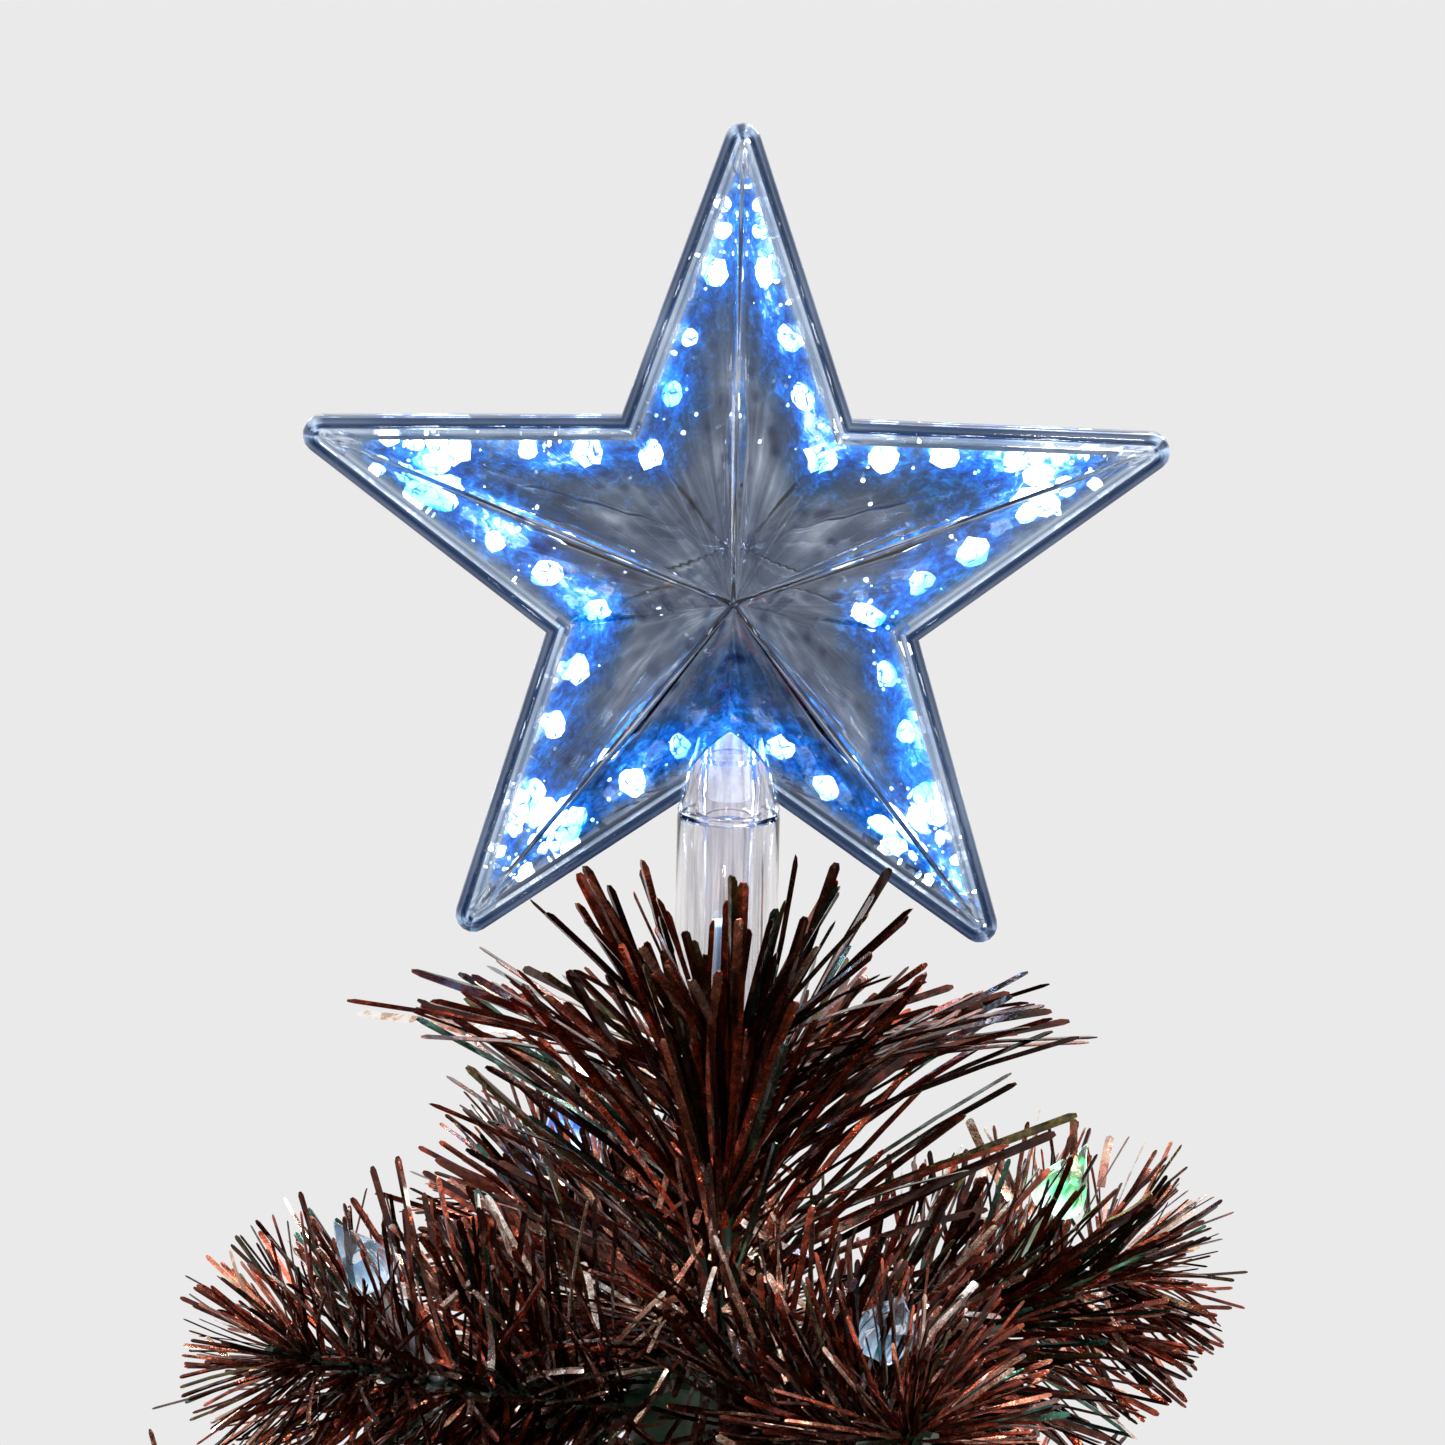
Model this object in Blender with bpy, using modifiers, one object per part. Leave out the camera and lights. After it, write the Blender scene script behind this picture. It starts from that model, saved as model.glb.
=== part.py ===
"""A table-top fibre optic Christmas tree with a clear star on its tip.

Metres, +Z up. The origin lies on the floor under the trunk, and the star
faces -Y. The base holds a lamp with a turning colour wheel. The trunk carries
the fibres to five tiers of foil branches, and the star pushes onto the leader.
"""
import math

import bmesh
import bpy
from mathutils import Matrix, Vector

# General fits
CLEARANCE = 0.0003
OVERRUN = 0.002
MERGE = 0.00001

# Base shell
BASE_RADIUS = 0.075
BASE_HEIGHT = 0.098
BASE_WALL = 0.0024
BAND_TOP = 0.026
SHOULDER_TOP = 0.086
BASE_STEPS = 48
DOME_SHARES = [(0.213, 0.942), (0.373, 0.858), (0.56, 0.733), (0.72, 0.583),
               (0.847, 0.4), (0.933, 0.2), (0.98, 0.05)]
SOCKET_WALL = 0.0033
SOCKET_SEAT_Z = 0.0605
LIGHT_HOLE_RADIUS = 0.006
BOSS_RADIUS = 0.0035
BOSS_PLACE_SHARE = 0.82
BOSS_TOP_SHARE = 0.33
BOSS_ANGLES = [math.radians(30), math.radians(150), math.radians(270)]
VENT_COUNT = 16
VENT_WIDTH = 0.003
VENT_HEIGHT = 0.012
VENT_FREE_ANGLE = math.radians(50)

# Base plate and feet
FOOT_HEIGHT = 0.003
FOOT_RADIUS = 0.006
FOOT_PLACE = 0.058
FOOT_COUNT = 4
STUD_RADIUS = 0.002
PLATE_THICKNESS = 0.0024
PLATE_SLOT_COUNT = 8
PLATE_SLOT_LENGTH = 0.02
PLATE_SLOT_WIDTH = 0.003
PLATE_SLOT_PLACE = 0.046

# Trunk and fibre bundle
TRUNK_TOP = 0.458
TRUNK_RADIUS = 0.009
TRUNK_WALL = 0.0018
FERRULE_HEIGHT = 0.016
FERRULE_WALL = 0.0016
LEADER_PLUG_HEIGHT = 0.014

# Lamp, reflector and their bracket
CHASSIS_TOP = 0.046
CHASSIS_THICKNESS = 0.002
CHASSIS_LENGTH = 0.072
CHASSIS_WIDTH = 0.036
POST_RADIUS = 0.0028
REFLECTOR_RADIUS = 0.0122
REFLECTOR_WALL = 0.0012
REFLECTOR_BOTTOM = 0.0235
REFLECTOR_NECK = 0.0049
REFLECTOR_FLANGE = 0.002
LAMP_RADIUS = 0.0042
LAMP_TOP = 0.04
HOLDER_SIZE = 0.017
HOLDER_HEIGHT = 0.0145

# Colour wheel and its motor
WHEEL_ROOM = 0.02
WHEEL_OVERLAP = 0.007
WHEEL_Z = 0.05
WHEEL_THICKNESS = 0.002
WHEEL_RIM_WIDTH = 0.003
WHEEL_HUB_RADIUS = 0.0055
SPOKE_WIDTH = 0.003
FILTER_COUNT = 4
FILTER_THICKNESS = 0.001
FILTER_GAP_ANGLE = math.radians(2.5)
SHAFT_RADIUS = 0.0015
SHAFT_TOP = 0.0565
CLIP_RADIUS = 0.0085
CLIP_THICKNESS = 0.0012
MOTOR_SHARE = 0.408
MOTOR_HEIGHT = 0.016
MOTOR_FLANGE = 0.0012
MOTOR_BORE_DEPTH = 0.006

# Switch and power inlet in the rear of the band
REAR_CENTRE_Z = 0.0145
BEZEL_WIDTH = 0.023
BEZEL_HEIGHT = 0.017
BEZEL_DEPTH = 0.0018
BEZEL_LIP = 0.0018
BEZEL_WALL = 0.0012
BEZEL_BODY_DEPTH = 0.013
ROCKER_TILT = math.radians(8)
ROCKER_FACE = 0.004
ROCKER_DISH = 0.0014
ROCKER_BACK = 0.003
INLET_ANGLE = math.radians(58)
INLET_RADIUS = 0.0042
INLET_FLANGE = 0.0058
INLET_LIP = 0.0014
INLET_BORE = 0.003
INLET_PIN = 0.001
INLET_LENGTH = 0.011

# Tiers of branches, the top one first
LOWEST_REACH = 0.154
TIER_REACH_SHARES = [0.4546, 0.5974, 0.7403, 0.8766, 1]
TIER_DROPS = [0.008, 0.074, 0.142, 0.212, 0.282]
TIER_TURNS = [math.radians(24.7), math.radians(69.7), math.radians(24.7),
              math.radians(69.7), math.radians(24.7)]
TIER_TWIG_SHARES = [[], [(0.36, 1), (0.46, -1)], [(0.36, 1), (0.44, -1)],
                    [(0.3, 1), (0.37, -1), (0.62, 1), (0.69, -1)],
                    [(0.28, 1), (0.34, -1), (0.6, 1), (0.66, -1)]]
TIER_STRANDS = [17, 18, 19, 22, 24]
BRANCHES_IN_TIER = 4
BRANCH_SLOPE_SHARE = 0.16
BRANCH_LIFT = 0.006
WIRE_RADIUS = 0.0015
TWIG_RADIUS = 0.0011
TWIG_ANGLE = math.radians(38)
TWIG_LENGTH_SHARE = 0.42
COLLAR_RADIUS = 0.013
COLLAR_HEIGHT = 0.011
FOLIAGE_START = 0.024

# Foil strands
STRAND_LENGTHS = [0.033, 0.039, 0.042, 0.042, 0.042]
STRAND_WIDTH = 0.0018
STRAND_THICKNESS = 0.0008
STRAND_TILT = math.radians(47)
STRAND_TIP_TILT = math.radians(24)
STRAND_GAP = 0.0022
GOLDEN_ANGLE = math.radians(137.5)
TRIM_SHARES = [1, 0.93, 0.86, 0.79, 0.72, 0.65, 0.58, 0.51, 0.44, 0.37, 0.3]
TRIM_PROBE_SHARES = [0.4, 0.6, 0.8, 1]

# Leader
LEADER_RADIUS = 0.003
LEADER_HEAD_ROOM = 0.0166
LEADER_FOOT_HEIGHT = 0.004
LEADER_COLLAR_RADIUS = 0.0078
LEADER_COLLAR_HEIGHT = 0.0045
LEADER_STRANDS = 26
LEADER_STRAND_LENGTH = 0.056
LEADER_FIRST_RISE = 0.009
LEADER_LAST_RISE = 0.034
LEADER_LOW_TILT = math.radians(62)
LEADER_HIGH_TILT = math.radians(45)
LEADER_CEILING_DROP = 0.056
LEADER_OPEN_DROP = 0.043
LEADER_OPEN_SHARE = 0.5

# Tulip caps on the top tier's fibres
CAP_HEIGHT = 0.012
CAP_RADIUS = 0.004
CAP_BORE_DEPTH = 0.005
CAP_SHARES = [(0.0, 1.0), (0.34, 0.8), (0.85, 0.55), (1.0, 0.33), (0.8, 0.12), (0.55, 0.0)]
STALK_RADIUS = 0.001
STALK_ROOT_SHARE = 0.62
STALK_RUN = 0.013
STALK_RISE = 0.02

# Star
STAR_RISE = 0.117
STAR_TIP = 0.07
STAR_NOTCH = 0.028
STAR_ROUNDING = 0.0026
STAR_RIM_WIDTH = 0.0031
STAR_RIM_DEPTH = 0.003
STAR_DEPTH = 0.024
STAR_WALL = 0.0015
STAR_POINTS = 5
STAR_ARC_STEPS = 3
FLUTES = 6
FLUTE_DEPTH = 0.0005
PIP_RADIUS = 0.0015
PIP_HEIGHT = 0.0014
PIP_SIDES = 5
PIP_SHARES = [(0.7, 0.024), (0.61, 0.043), (0.481, 0.094), (0.357, 0.133)]
PIP_NOTCH_SHARE = 0.29

# Star neck
NECK_RADIUS = 0.0074
NECK_WALL = 0.0013
NECK_BOTTOM = -0.0653
NECK_TOP = -0.027
TUBE_RADIUS = 0.0047
TUBE_TOP = -0.018
TUBE_BEAD = 0.0006
TUBE_BEAD_Z = -0.0245
WEB_THICKNESS = 0.0022
TUBE_LEAD = 0.0015
DIFFUSER_TOP = -0.0277
DIFFUSER_HEIGHT = 0.005

# Colours, roughness and metallic of each material
LOOKS = {
    "clear_plastic": ((0.62, 0.7, 0.82), 0.1, 0.0),
    "frosted_plastic": ((0.9, 0.93, 0.97), 0.5, 0.0),
    "copper_foil": ((0.23, 0.06, 0.03), 0.28, 0.9),
    "bronze_foil": ((0.1, 0.03, 0.02), 0.3, 0.9),
    "green_plastic": ((0.02, 0.07, 0.04), 0.45, 0.0),
    "dark_plastic": ((0.025, 0.025, 0.028), 0.42, 0.0),
    "base_plastic": ((0.02, 0.05, 0.03), 0.38, 0.0),
    "rubber": ((0.02, 0.02, 0.02), 0.8, 0.0),
    "steel": ((0.55, 0.55, 0.56), 0.35, 1.0),
    "bright_metal": ((0.85, 0.85, 0.86), 0.12, 1.0),
    "ceramic": ((0.85, 0.83, 0.78), 0.6, 0.0),
    "glass": ((0.95, 0.97, 1.0), 0.02, 0.0),
    "fibre": ((0.85, 0.9, 0.98), 0.2, 0.0),
    "filter_red": ((0.7, 0.03, 0.03), 0.2, 0.0),
    "filter_blue": ((0.03, 0.12, 0.75), 0.2, 0.0),
    "filter_green": ((0.03, 0.5, 0.1), 0.2, 0.0),
    "filter_amber": ((0.85, 0.5, 0.05), 0.2, 0.0),
}

# Heights and radii that follow from the sizes above
PLATE_TOP = FOOT_HEIGHT + PLATE_THICKNESS
SOCKET_BORE = TRUNK_RADIUS + CLEARANCE
SOCKET_RADIUS = SOCKET_BORE + SOCKET_WALL
TRUNK_BOTTOM = SOCKET_SEAT_Z + BASE_WALL + CLEARANCE
TRUNK_BORE = TRUNK_RADIUS - TRUNK_WALL
PLUG_RADIUS = TRUNK_BORE - CLEARANCE
WHEEL_RADIUS = (BASE_RADIUS - WHEEL_ROOM + WHEEL_OVERLAP) / 2
WHEEL_OFFSET = WHEEL_RADIUS - WHEEL_OVERLAP
MOTOR_RADIUS = MOTOR_SHARE * WHEEL_OFFSET
TIER_HEIGHTS = [TRUNK_TOP - drop for drop in TIER_DROPS]
TIER_REACHES = [LOWEST_REACH * share for share in TIER_REACH_SHARES]
STAR_CENTRE_Z = TRUNK_TOP + STAR_RISE
LEADER_TOP = STAR_CENTRE_Z + DIFFUSER_TOP - DIFFUSER_HEIGHT - LEADER_HEAD_ROOM
LEADER_COLLAR_TOP = STAR_CENTRE_Z + NECK_BOTTOM - CLEARANCE
FACET_SHARE = 1 - STAR_RIM_WIDTH * math.dist((STAR_TIP, 0), (
    STAR_NOTCH * math.cos(math.pi / STAR_POINTS), STAR_NOTCH * math.sin(math.pi / STAR_POINTS))) / (
    STAR_TIP * STAR_NOTCH * math.sin(math.pi / STAR_POINTS))


def clear_scene():
    for obj in list(bpy.data.objects):
        bpy.data.objects.remove(obj, do_unlink=True)


def make_collection(name, hidden=False):
    found = bpy.data.collections.new(name)
    bpy.context.scene.collection.children.link(found)
    found.hide_render = hidden
    return found


def material(name):
    found = bpy.data.materials.get(name)
    if found:
        return found
    colour, roughness, metallic = LOOKS[name]
    found = bpy.data.materials.new(name)
    found.use_nodes = True
    shader = found.node_tree.nodes["Principled BSDF"]
    shader.inputs["Base Color"].default_value = (*colour, 1)
    shader.inputs["Roughness"].default_value = roughness
    shader.inputs["Metallic"].default_value = metallic
    return found


def make_body(name, place, parent=None):
    body = bpy.data.objects.new(name + "_body", None)
    TREE_PARTS.objects.link(body)
    body.parent = parent
    body.location = Vector(place) - body_place(parent)
    return body


def body_place(body):
    place = Vector((0, 0, 0))
    while body:
        place += body.location
        body = body.parent
    return place


def add_object(name, mesh, look, body, place=(0, 0, 0), turn=0):
    obj = bpy.data.objects.new(name, mesh)
    TREE_PARTS.objects.link(obj)
    if not mesh.materials:
        mesh.materials.append(material(look))
    obj.parent = body
    obj.location = Vector(place) - body_place(body)
    obj.rotation_euler = (0, 0, turn)
    return obj


def add_cutter(name, bm, place=(0, 0, 0)):
    bmesh.ops.recalc_face_normals(bm, faces=bm.faces)
    mesh = bpy.data.meshes.new(name)
    bm.to_mesh(mesh)
    bm.free()
    obj = bpy.data.objects.new(name, mesh)
    CUTTERS.objects.link(obj)
    obj.location = place
    obj.hide_render = True
    obj.display_type = "WIRE"
    return obj


def mesh_from(bm, name):
    bmesh.ops.recalc_face_normals(bm, faces=bm.faces)
    mesh = bpy.data.meshes.new(name)
    bm.to_mesh(mesh)
    bm.free()
    return mesh


def boolean(obj, operand, operation):
    modifier = obj.modifiers.new(operation.title(), "BOOLEAN")
    modifier.operation = operation
    modifier.object = operand
    modifier.solver = "EXACT"


def turned(name, profile, steps, look, body, place=(0, 0, 0), closed=True):
    """A profile of (radius, height) points turned about the object's Z axis."""
    count = len(profile)
    edges = [(i, i + 1) for i in range(count - 1)]
    if closed:
        edges.append((count - 1, 0))
    mesh = bpy.data.meshes.new(name)
    mesh.from_pydata([(radius, 0, height) for radius, height in profile], edges, [])
    obj = add_object(name, mesh, look, body, place)
    screw = obj.modifiers.new("Turn", "SCREW")
    screw.steps = steps
    screw.render_steps = steps
    screw.use_merge_vertices = True
    screw.merge_threshold = MERGE
    screw.use_smooth_shade = True
    return obj


def add_box(bm, size, centre, turn=0):
    spin = Matrix.Rotation(turn, 4, "Z")
    shape = spin @ Matrix.Translation(centre) @ Matrix.Diagonal((*size, 1))
    bmesh.ops.create_cube(bm, size=1, matrix=shape)


def add_rod(bm, radius, bottom, top, sides, end_radius=None):
    """A straight round rod between two points."""
    bottom = Vector(bottom)
    axis = Vector(top) - bottom
    turn = axis.to_track_quat("Z", "Y").to_matrix().to_4x4()
    middle = bottom + axis / 2
    bmesh.ops.create_cone(
        bm, segments=sides, radius1=radius, radius2=radius if end_radius is None else end_radius,
        depth=axis.length, cap_ends=True, matrix=Matrix.Translation(middle) @ turn)


def loft(bm, rings):
    """Quads between rings of as many points each; returns the last ring."""
    last = [bm.verts.new(point) for point in rings[0]]
    bm.faces.new(last)
    for ring in rings[1:]:
        new = [bm.verts.new(point) for point in ring]
        for i in range(len(new)):
            j = (i + 1) % len(new)
            bm.faces.new((last[i], last[j], new[j], new[i]))
        last = new
    return last


# The base


def inset_profile(points, wall):
    """The points of an outer profile moved inward by the wall."""
    moved = []
    for i in range(1, len(points) - 1):
        run = Vector(points[i + 1]) - Vector(points[i - 1])
        side = Vector((-run.y, run.x)).normalized()
        inner = Vector(points[i]) - side * wall
        moved.append((inner.x, inner.y))
    return moved


def dome_points():
    rise = SHOULDER_TOP - BAND_TOP
    return [(radius * BASE_RADIUS, BAND_TOP + height * rise) for radius, height in DOME_SHARES]


def base_profile():
    outside = [(SOCKET_RADIUS, SHOULDER_TOP), *dome_points(), (BASE_RADIUS, BAND_TOP),
               (BASE_RADIUS, FOOT_HEIGHT)]
    inside = inset_profile(outside, BASE_WALL)
    inside[-1] = (BASE_RADIUS - BASE_WALL, BAND_TOP)
    floor = SOCKET_SEAT_Z
    return [(SOCKET_RADIUS, BASE_HEIGHT), *outside, (BASE_RADIUS - BASE_WALL, FOOT_HEIGHT),
            *reversed(inside), (SOCKET_RADIUS, SHOULDER_TOP - BASE_WALL - BASE_WALL),
            (SOCKET_RADIUS, floor), (LIGHT_HOLE_RADIUS, floor),
            (LIGHT_HOLE_RADIUS, floor + BASE_WALL), (SOCKET_BORE, floor + BASE_WALL),
            (SOCKET_BORE, BASE_HEIGHT)]


def vent_angles():
    """Slots all round the band but for the part at the rear."""
    start = math.pi / 2 + VENT_FREE_ANGLE
    step = (2 * math.pi - 2 * VENT_FREE_ANGLE) / (VENT_COUNT - 1)
    return [start + step * i for i in range(VENT_COUNT)]


def base_cutters():
    bm = bmesh.new()
    reach = BASE_WALL + OVERRUN
    deep = 2 * reach
    for angle in vent_angles():
        add_box(bm, (deep, VENT_WIDTH, VENT_HEIGHT),
                (BASE_RADIUS - BASE_WALL / 2, 0, REAR_CENTRE_Z), angle)
    opening = (BEZEL_WIDTH - 2 * BEZEL_LIP + 2 * CLEARANCE, deep,
               BEZEL_HEIGHT - 2 * BEZEL_LIP + 2 * CLEARANCE)
    add_box(bm, opening, (0, BASE_RADIUS - BASE_WALL / 2, REAR_CENTRE_Z))
    side = Vector((math.cos(INLET_ANGLE), math.sin(INLET_ANGLE), 0))
    centre = Vector((0, 0, REAR_CENTRE_Z))
    add_rod(bm, INLET_RADIUS + CLEARANCE, centre + side * (BASE_RADIUS - BASE_WALL - reach),
            centre + side * (BASE_RADIUS + reach), 16)
    return add_cutter("base_cutters", bm)


def base_bosses():
    bm = bmesh.new()
    top = BAND_TOP + BOSS_TOP_SHARE * (SHOULDER_TOP - BAND_TOP)
    reach = BOSS_PLACE_SHARE * BASE_RADIUS
    for angle in BOSS_ANGLES:
        x, y = reach * math.cos(angle), reach * math.sin(angle)
        add_rod(bm, BOSS_RADIUS, (x, y, PLATE_TOP + CLEARANCE), (x, y, top), 10)
    return add_cutter("base_bosses", bm)


def build_base_shell(body):
    shell = turned("base_shell", base_profile(), BASE_STEPS, "base_plastic", body)
    boolean(shell, base_bosses(), "UNION")
    boolean(shell, base_cutters(), "DIFFERENCE")


def foot_places():
    turn = 2 * math.pi / FOOT_COUNT
    return [(FOOT_PLACE * math.cos(turn * (i + 1 / 2)), FOOT_PLACE * math.sin(turn * (i + 1 / 2)))
            for i in range(FOOT_COUNT)]


def build_base_plate(body):
    bm = bmesh.new()
    add_rod(bm, BASE_RADIUS - BASE_WALL - CLEARANCE, (0, 0, FOOT_HEIGHT), (0, 0, PLATE_TOP),
            BASE_STEPS)
    plate = add_object("base_plate", mesh_from(bm, "base_plate"), "dark_plastic", body)
    holes = bmesh.new()
    for x, y in foot_places():
        add_rod(holes, STUD_RADIUS + CLEARANCE, (x, y, FOOT_HEIGHT - OVERRUN),
                (x, y, PLATE_TOP + OVERRUN), 8)
    middle = FOOT_HEIGHT + PLATE_THICKNESS / 2
    for i in range(PLATE_SLOT_COUNT):
        add_box(holes, (PLATE_SLOT_WIDTH, PLATE_SLOT_LENGTH, PLATE_THICKNESS + OVERRUN),
                (PLATE_SLOT_PLACE, 0, middle), 2 * math.pi * i / PLATE_SLOT_COUNT)
    boolean(plate, add_cutter("plate_holes", holes), "DIFFERENCE")


def build_feet(body):
    top = FOOT_HEIGHT - CLEARANCE
    stud_top = PLATE_TOP - CLEARANCE
    profile = [(0, stud_top), (STUD_RADIUS, stud_top), (STUD_RADIUS, top), (FOOT_RADIUS, top),
               (FOOT_RADIUS - CLEARANCE, 0), (0, 0)]
    for i, (x, y) in enumerate(foot_places()):
        turned(f"foot_{i + 1}", profile, 10, "rubber", body, (x, y, 0), closed=False)


def build_chassis(body):
    bottom = CHASSIS_TOP - CHASSIS_THICKNESS
    centre_y = WHEEL_OFFSET / 2
    bm = bmesh.new()
    add_box(bm, (CHASSIS_WIDTH, CHASSIS_LENGTH, CHASSIS_THICKNESS),
            (0, centre_y, bottom + CHASSIS_THICKNESS / 2))
    chassis = add_object("chassis", mesh_from(bm, "chassis"), "steel", body)
    posts = bmesh.new()
    x = CHASSIS_WIDTH / 2 - POST_RADIUS - CLEARANCE
    y = CHASSIS_LENGTH / 2 - POST_RADIUS - CLEARANCE
    for sx in (-1, 1):
        for sy in (-1, 1):
            add_rod(posts, POST_RADIUS, (sx * x, centre_y + sy * y, PLATE_TOP + CLEARANCE),
                    (sx * x, centre_y + sy * y, bottom + CHASSIS_THICKNESS / 2), 8)
    boolean(chassis, add_cutter("chassis_posts", posts), "UNION")
    holes = bmesh.new()
    add_rod(holes, REFLECTOR_RADIUS + CLEARANCE, (0, 0, bottom - OVERRUN),
            (0, 0, CHASSIS_TOP + OVERRUN), 20)
    add_rod(holes, SHAFT_RADIUS + CLEARANCE, (0, WHEEL_OFFSET, bottom - OVERRUN),
            (0, WHEEL_OFFSET, CHASSIS_TOP + OVERRUN), 10)
    boolean(chassis, add_cutter("chassis_holes", holes), "DIFFERENCE")


def build_lamp(body):
    bm = bmesh.new()
    base = PLATE_TOP + CLEARANCE
    add_box(bm, (HOLDER_SIZE, HOLDER_SIZE, HOLDER_HEIGHT), (0, 0, base + HOLDER_HEIGHT / 2))
    holder = add_object("lamp_holder", mesh_from(bm, "lamp_holder"), "ceramic", body)
    bevel = holder.modifiers.new("Edges", "BEVEL")
    bevel.width = BASE_WALL / 2
    bevel.segments = 1
    foot = base + HOLDER_HEIGHT + CLEARANCE
    pinch = LAMP_RADIUS * 0.7
    rise = LAMP_TOP - foot
    profile = [(0, LAMP_TOP), (LAMP_RADIUS * 0.6, LAMP_TOP - LAMP_RADIUS * 0.25),
               (LAMP_RADIUS, LAMP_TOP - LAMP_RADIUS), (LAMP_RADIUS, foot + rise * 0.4),
               (pinch, foot + rise * 0.3), (pinch, foot), (0, foot)]
    turned("lamp", profile, 12, "glass", body, closed=False)


def build_reflector(body):
    rim = CHASSIS_TOP + CLEARANCE
    bowl = [(1, 1), (0.93, 0.7), (0.75, 0.4), (0.52, 0.16)]
    depth = rim - REFLECTOR_BOTTOM
    outer = [(share * REFLECTOR_RADIUS, REFLECTOR_BOTTOM + up * depth) for share, up in bowl]
    neck = REFLECTOR_NECK + REFLECTOR_WALL
    inner = [(radius - REFLECTOR_WALL, height + REFLECTOR_WALL / 2)
             for radius, height in outer[1:]]
    profile = [(REFLECTOR_RADIUS + REFLECTOR_FLANGE, rim + REFLECTOR_WALL),
               (REFLECTOR_RADIUS + REFLECTOR_FLANGE, rim), *outer, (neck, REFLECTOR_BOTTOM),
               (REFLECTOR_NECK, REFLECTOR_BOTTOM), *reversed(inner),
               (REFLECTOR_RADIUS - REFLECTOR_WALL, rim + REFLECTOR_WALL)]
    turned("reflector", profile, 16, "bright_metal", body)


def build_motor(body):
    top = CHASSIS_TOP - CHASSIS_THICKNESS - CLEARANCE
    bore = SHAFT_RADIUS + CLEARANCE
    profile = [(bore, top), (MOTOR_RADIUS, top), (MOTOR_RADIUS, top - MOTOR_FLANGE),
               (MOTOR_RADIUS - MOTOR_FLANGE, top - 2 * MOTOR_FLANGE),
               (MOTOR_RADIUS - MOTOR_FLANGE, top - MOTOR_HEIGHT), (0, top - MOTOR_HEIGHT),
               (0, top - MOTOR_BORE_DEPTH), (bore, top - MOTOR_BORE_DEPTH)]
    # the bore is open at the top, so the profile starts and ends on it
    ordered = profile[7:] + profile[:7]
    ordered = [(0, top - MOTOR_BORE_DEPTH), *ordered[:-1]]
    turned("motor", ordered, 20, "steel", body, (0, WHEEL_OFFSET, 0), closed=False)


# The colour wheel


def build_wheel(body):
    place = (0, WHEEL_OFFSET, 0)
    bore = SHAFT_RADIUS + CLEARANCE
    top = WHEEL_Z + WHEEL_THICKNESS
    shaft_foot = CHASSIS_TOP - CHASSIS_THICKNESS - MOTOR_BORE_DEPTH
    shaft = bmesh.new()
    add_rod(shaft, SHAFT_RADIUS, (0, 0, shaft_foot), (0, 0, SHAFT_TOP), 10)
    add_object("motor_shaft", mesh_from(shaft, "motor_shaft"), "steel", body, place)
    ring = [(WHEEL_RADIUS, top), (WHEEL_RADIUS, WHEEL_Z), (WHEEL_RADIUS - WHEEL_RIM_WIDTH, WHEEL_Z),
            (WHEEL_RADIUS - WHEEL_RIM_WIDTH, top)]
    frame = turned("wheel_frame", ring, 28, "dark_plastic", body, place)
    spokes = bmesh.new()
    span = 2 * WHEEL_RADIUS - WHEEL_RIM_WIDTH
    middle = WHEEL_Z + WHEEL_THICKNESS / 2
    add_box(spokes, (span, SPOKE_WIDTH, WHEEL_THICKNESS - CLEARANCE), (0, 0, middle))
    cross = bmesh.new()
    add_box(cross, (SPOKE_WIDTH, span, WHEEL_THICKNESS - CLEARANCE), (0, 0, middle))
    hub = bmesh.new()
    add_rod(hub, WHEEL_HUB_RADIUS, (0, 0, WHEEL_Z), (0, 0, top), 16)
    hole = bmesh.new()
    add_rod(hole, bore, (0, 0, WHEEL_Z - OVERRUN), (0, 0, top + OVERRUN), 10)
    for name, shape, operation in (("wheel_spokes", spokes, "UNION"), ("wheel_cross", cross, "UNION"),
                                   ("wheel_hub", hub, "UNION"), ("wheel_hole", hole, "DIFFERENCE")):
        boolean(frame, add_cutter(name, shape, place=place), operation)
    build_filters(body, place, top + CLEARANCE)
    clip_z = top + 2 * CLEARANCE + FILTER_THICKNESS
    clip = [(CLIP_RADIUS, clip_z + CLIP_THICKNESS), (CLIP_RADIUS, clip_z), (bore, clip_z),
            (bore, clip_z + CLIP_THICKNESS)]
    turned("wheel_clip", clip, 14, "steel", body, place)


def filter_points(height):
    """A ring sector between the hub and the rim."""
    half = math.pi / FILTER_COUNT - FILTER_GAP_ANGLE
    inner = WHEEL_HUB_RADIUS + CLEARANCE
    outer = WHEEL_RADIUS - CLEARANCE
    steps = 6
    angles = [half * (2 * i / steps - 1) for i in range(steps + 1)]
    arc = [(outer * math.cos(a), outer * math.sin(a), height) for a in angles]
    back = [(inner * math.cos(a), inner * math.sin(a), height) for a in (half, 0, -half)]
    return arc + back


def build_filters(body, place, bottom):
    for i, colour in enumerate(("red", "blue", "green", "amber")):
        bm = bmesh.new()
        loft_cap(bm, [filter_points(bottom), filter_points(bottom + FILTER_THICKNESS)])
        name = f"filter_{colour}"
        add_object(name, mesh_from(bm, name), name, body, place,
                   2 * math.pi * (i + 1 / 2) / FILTER_COUNT)


def loft_cap(bm, rings):
    bm.faces.new(loft(bm, rings))


# The switch and the inlet


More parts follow.
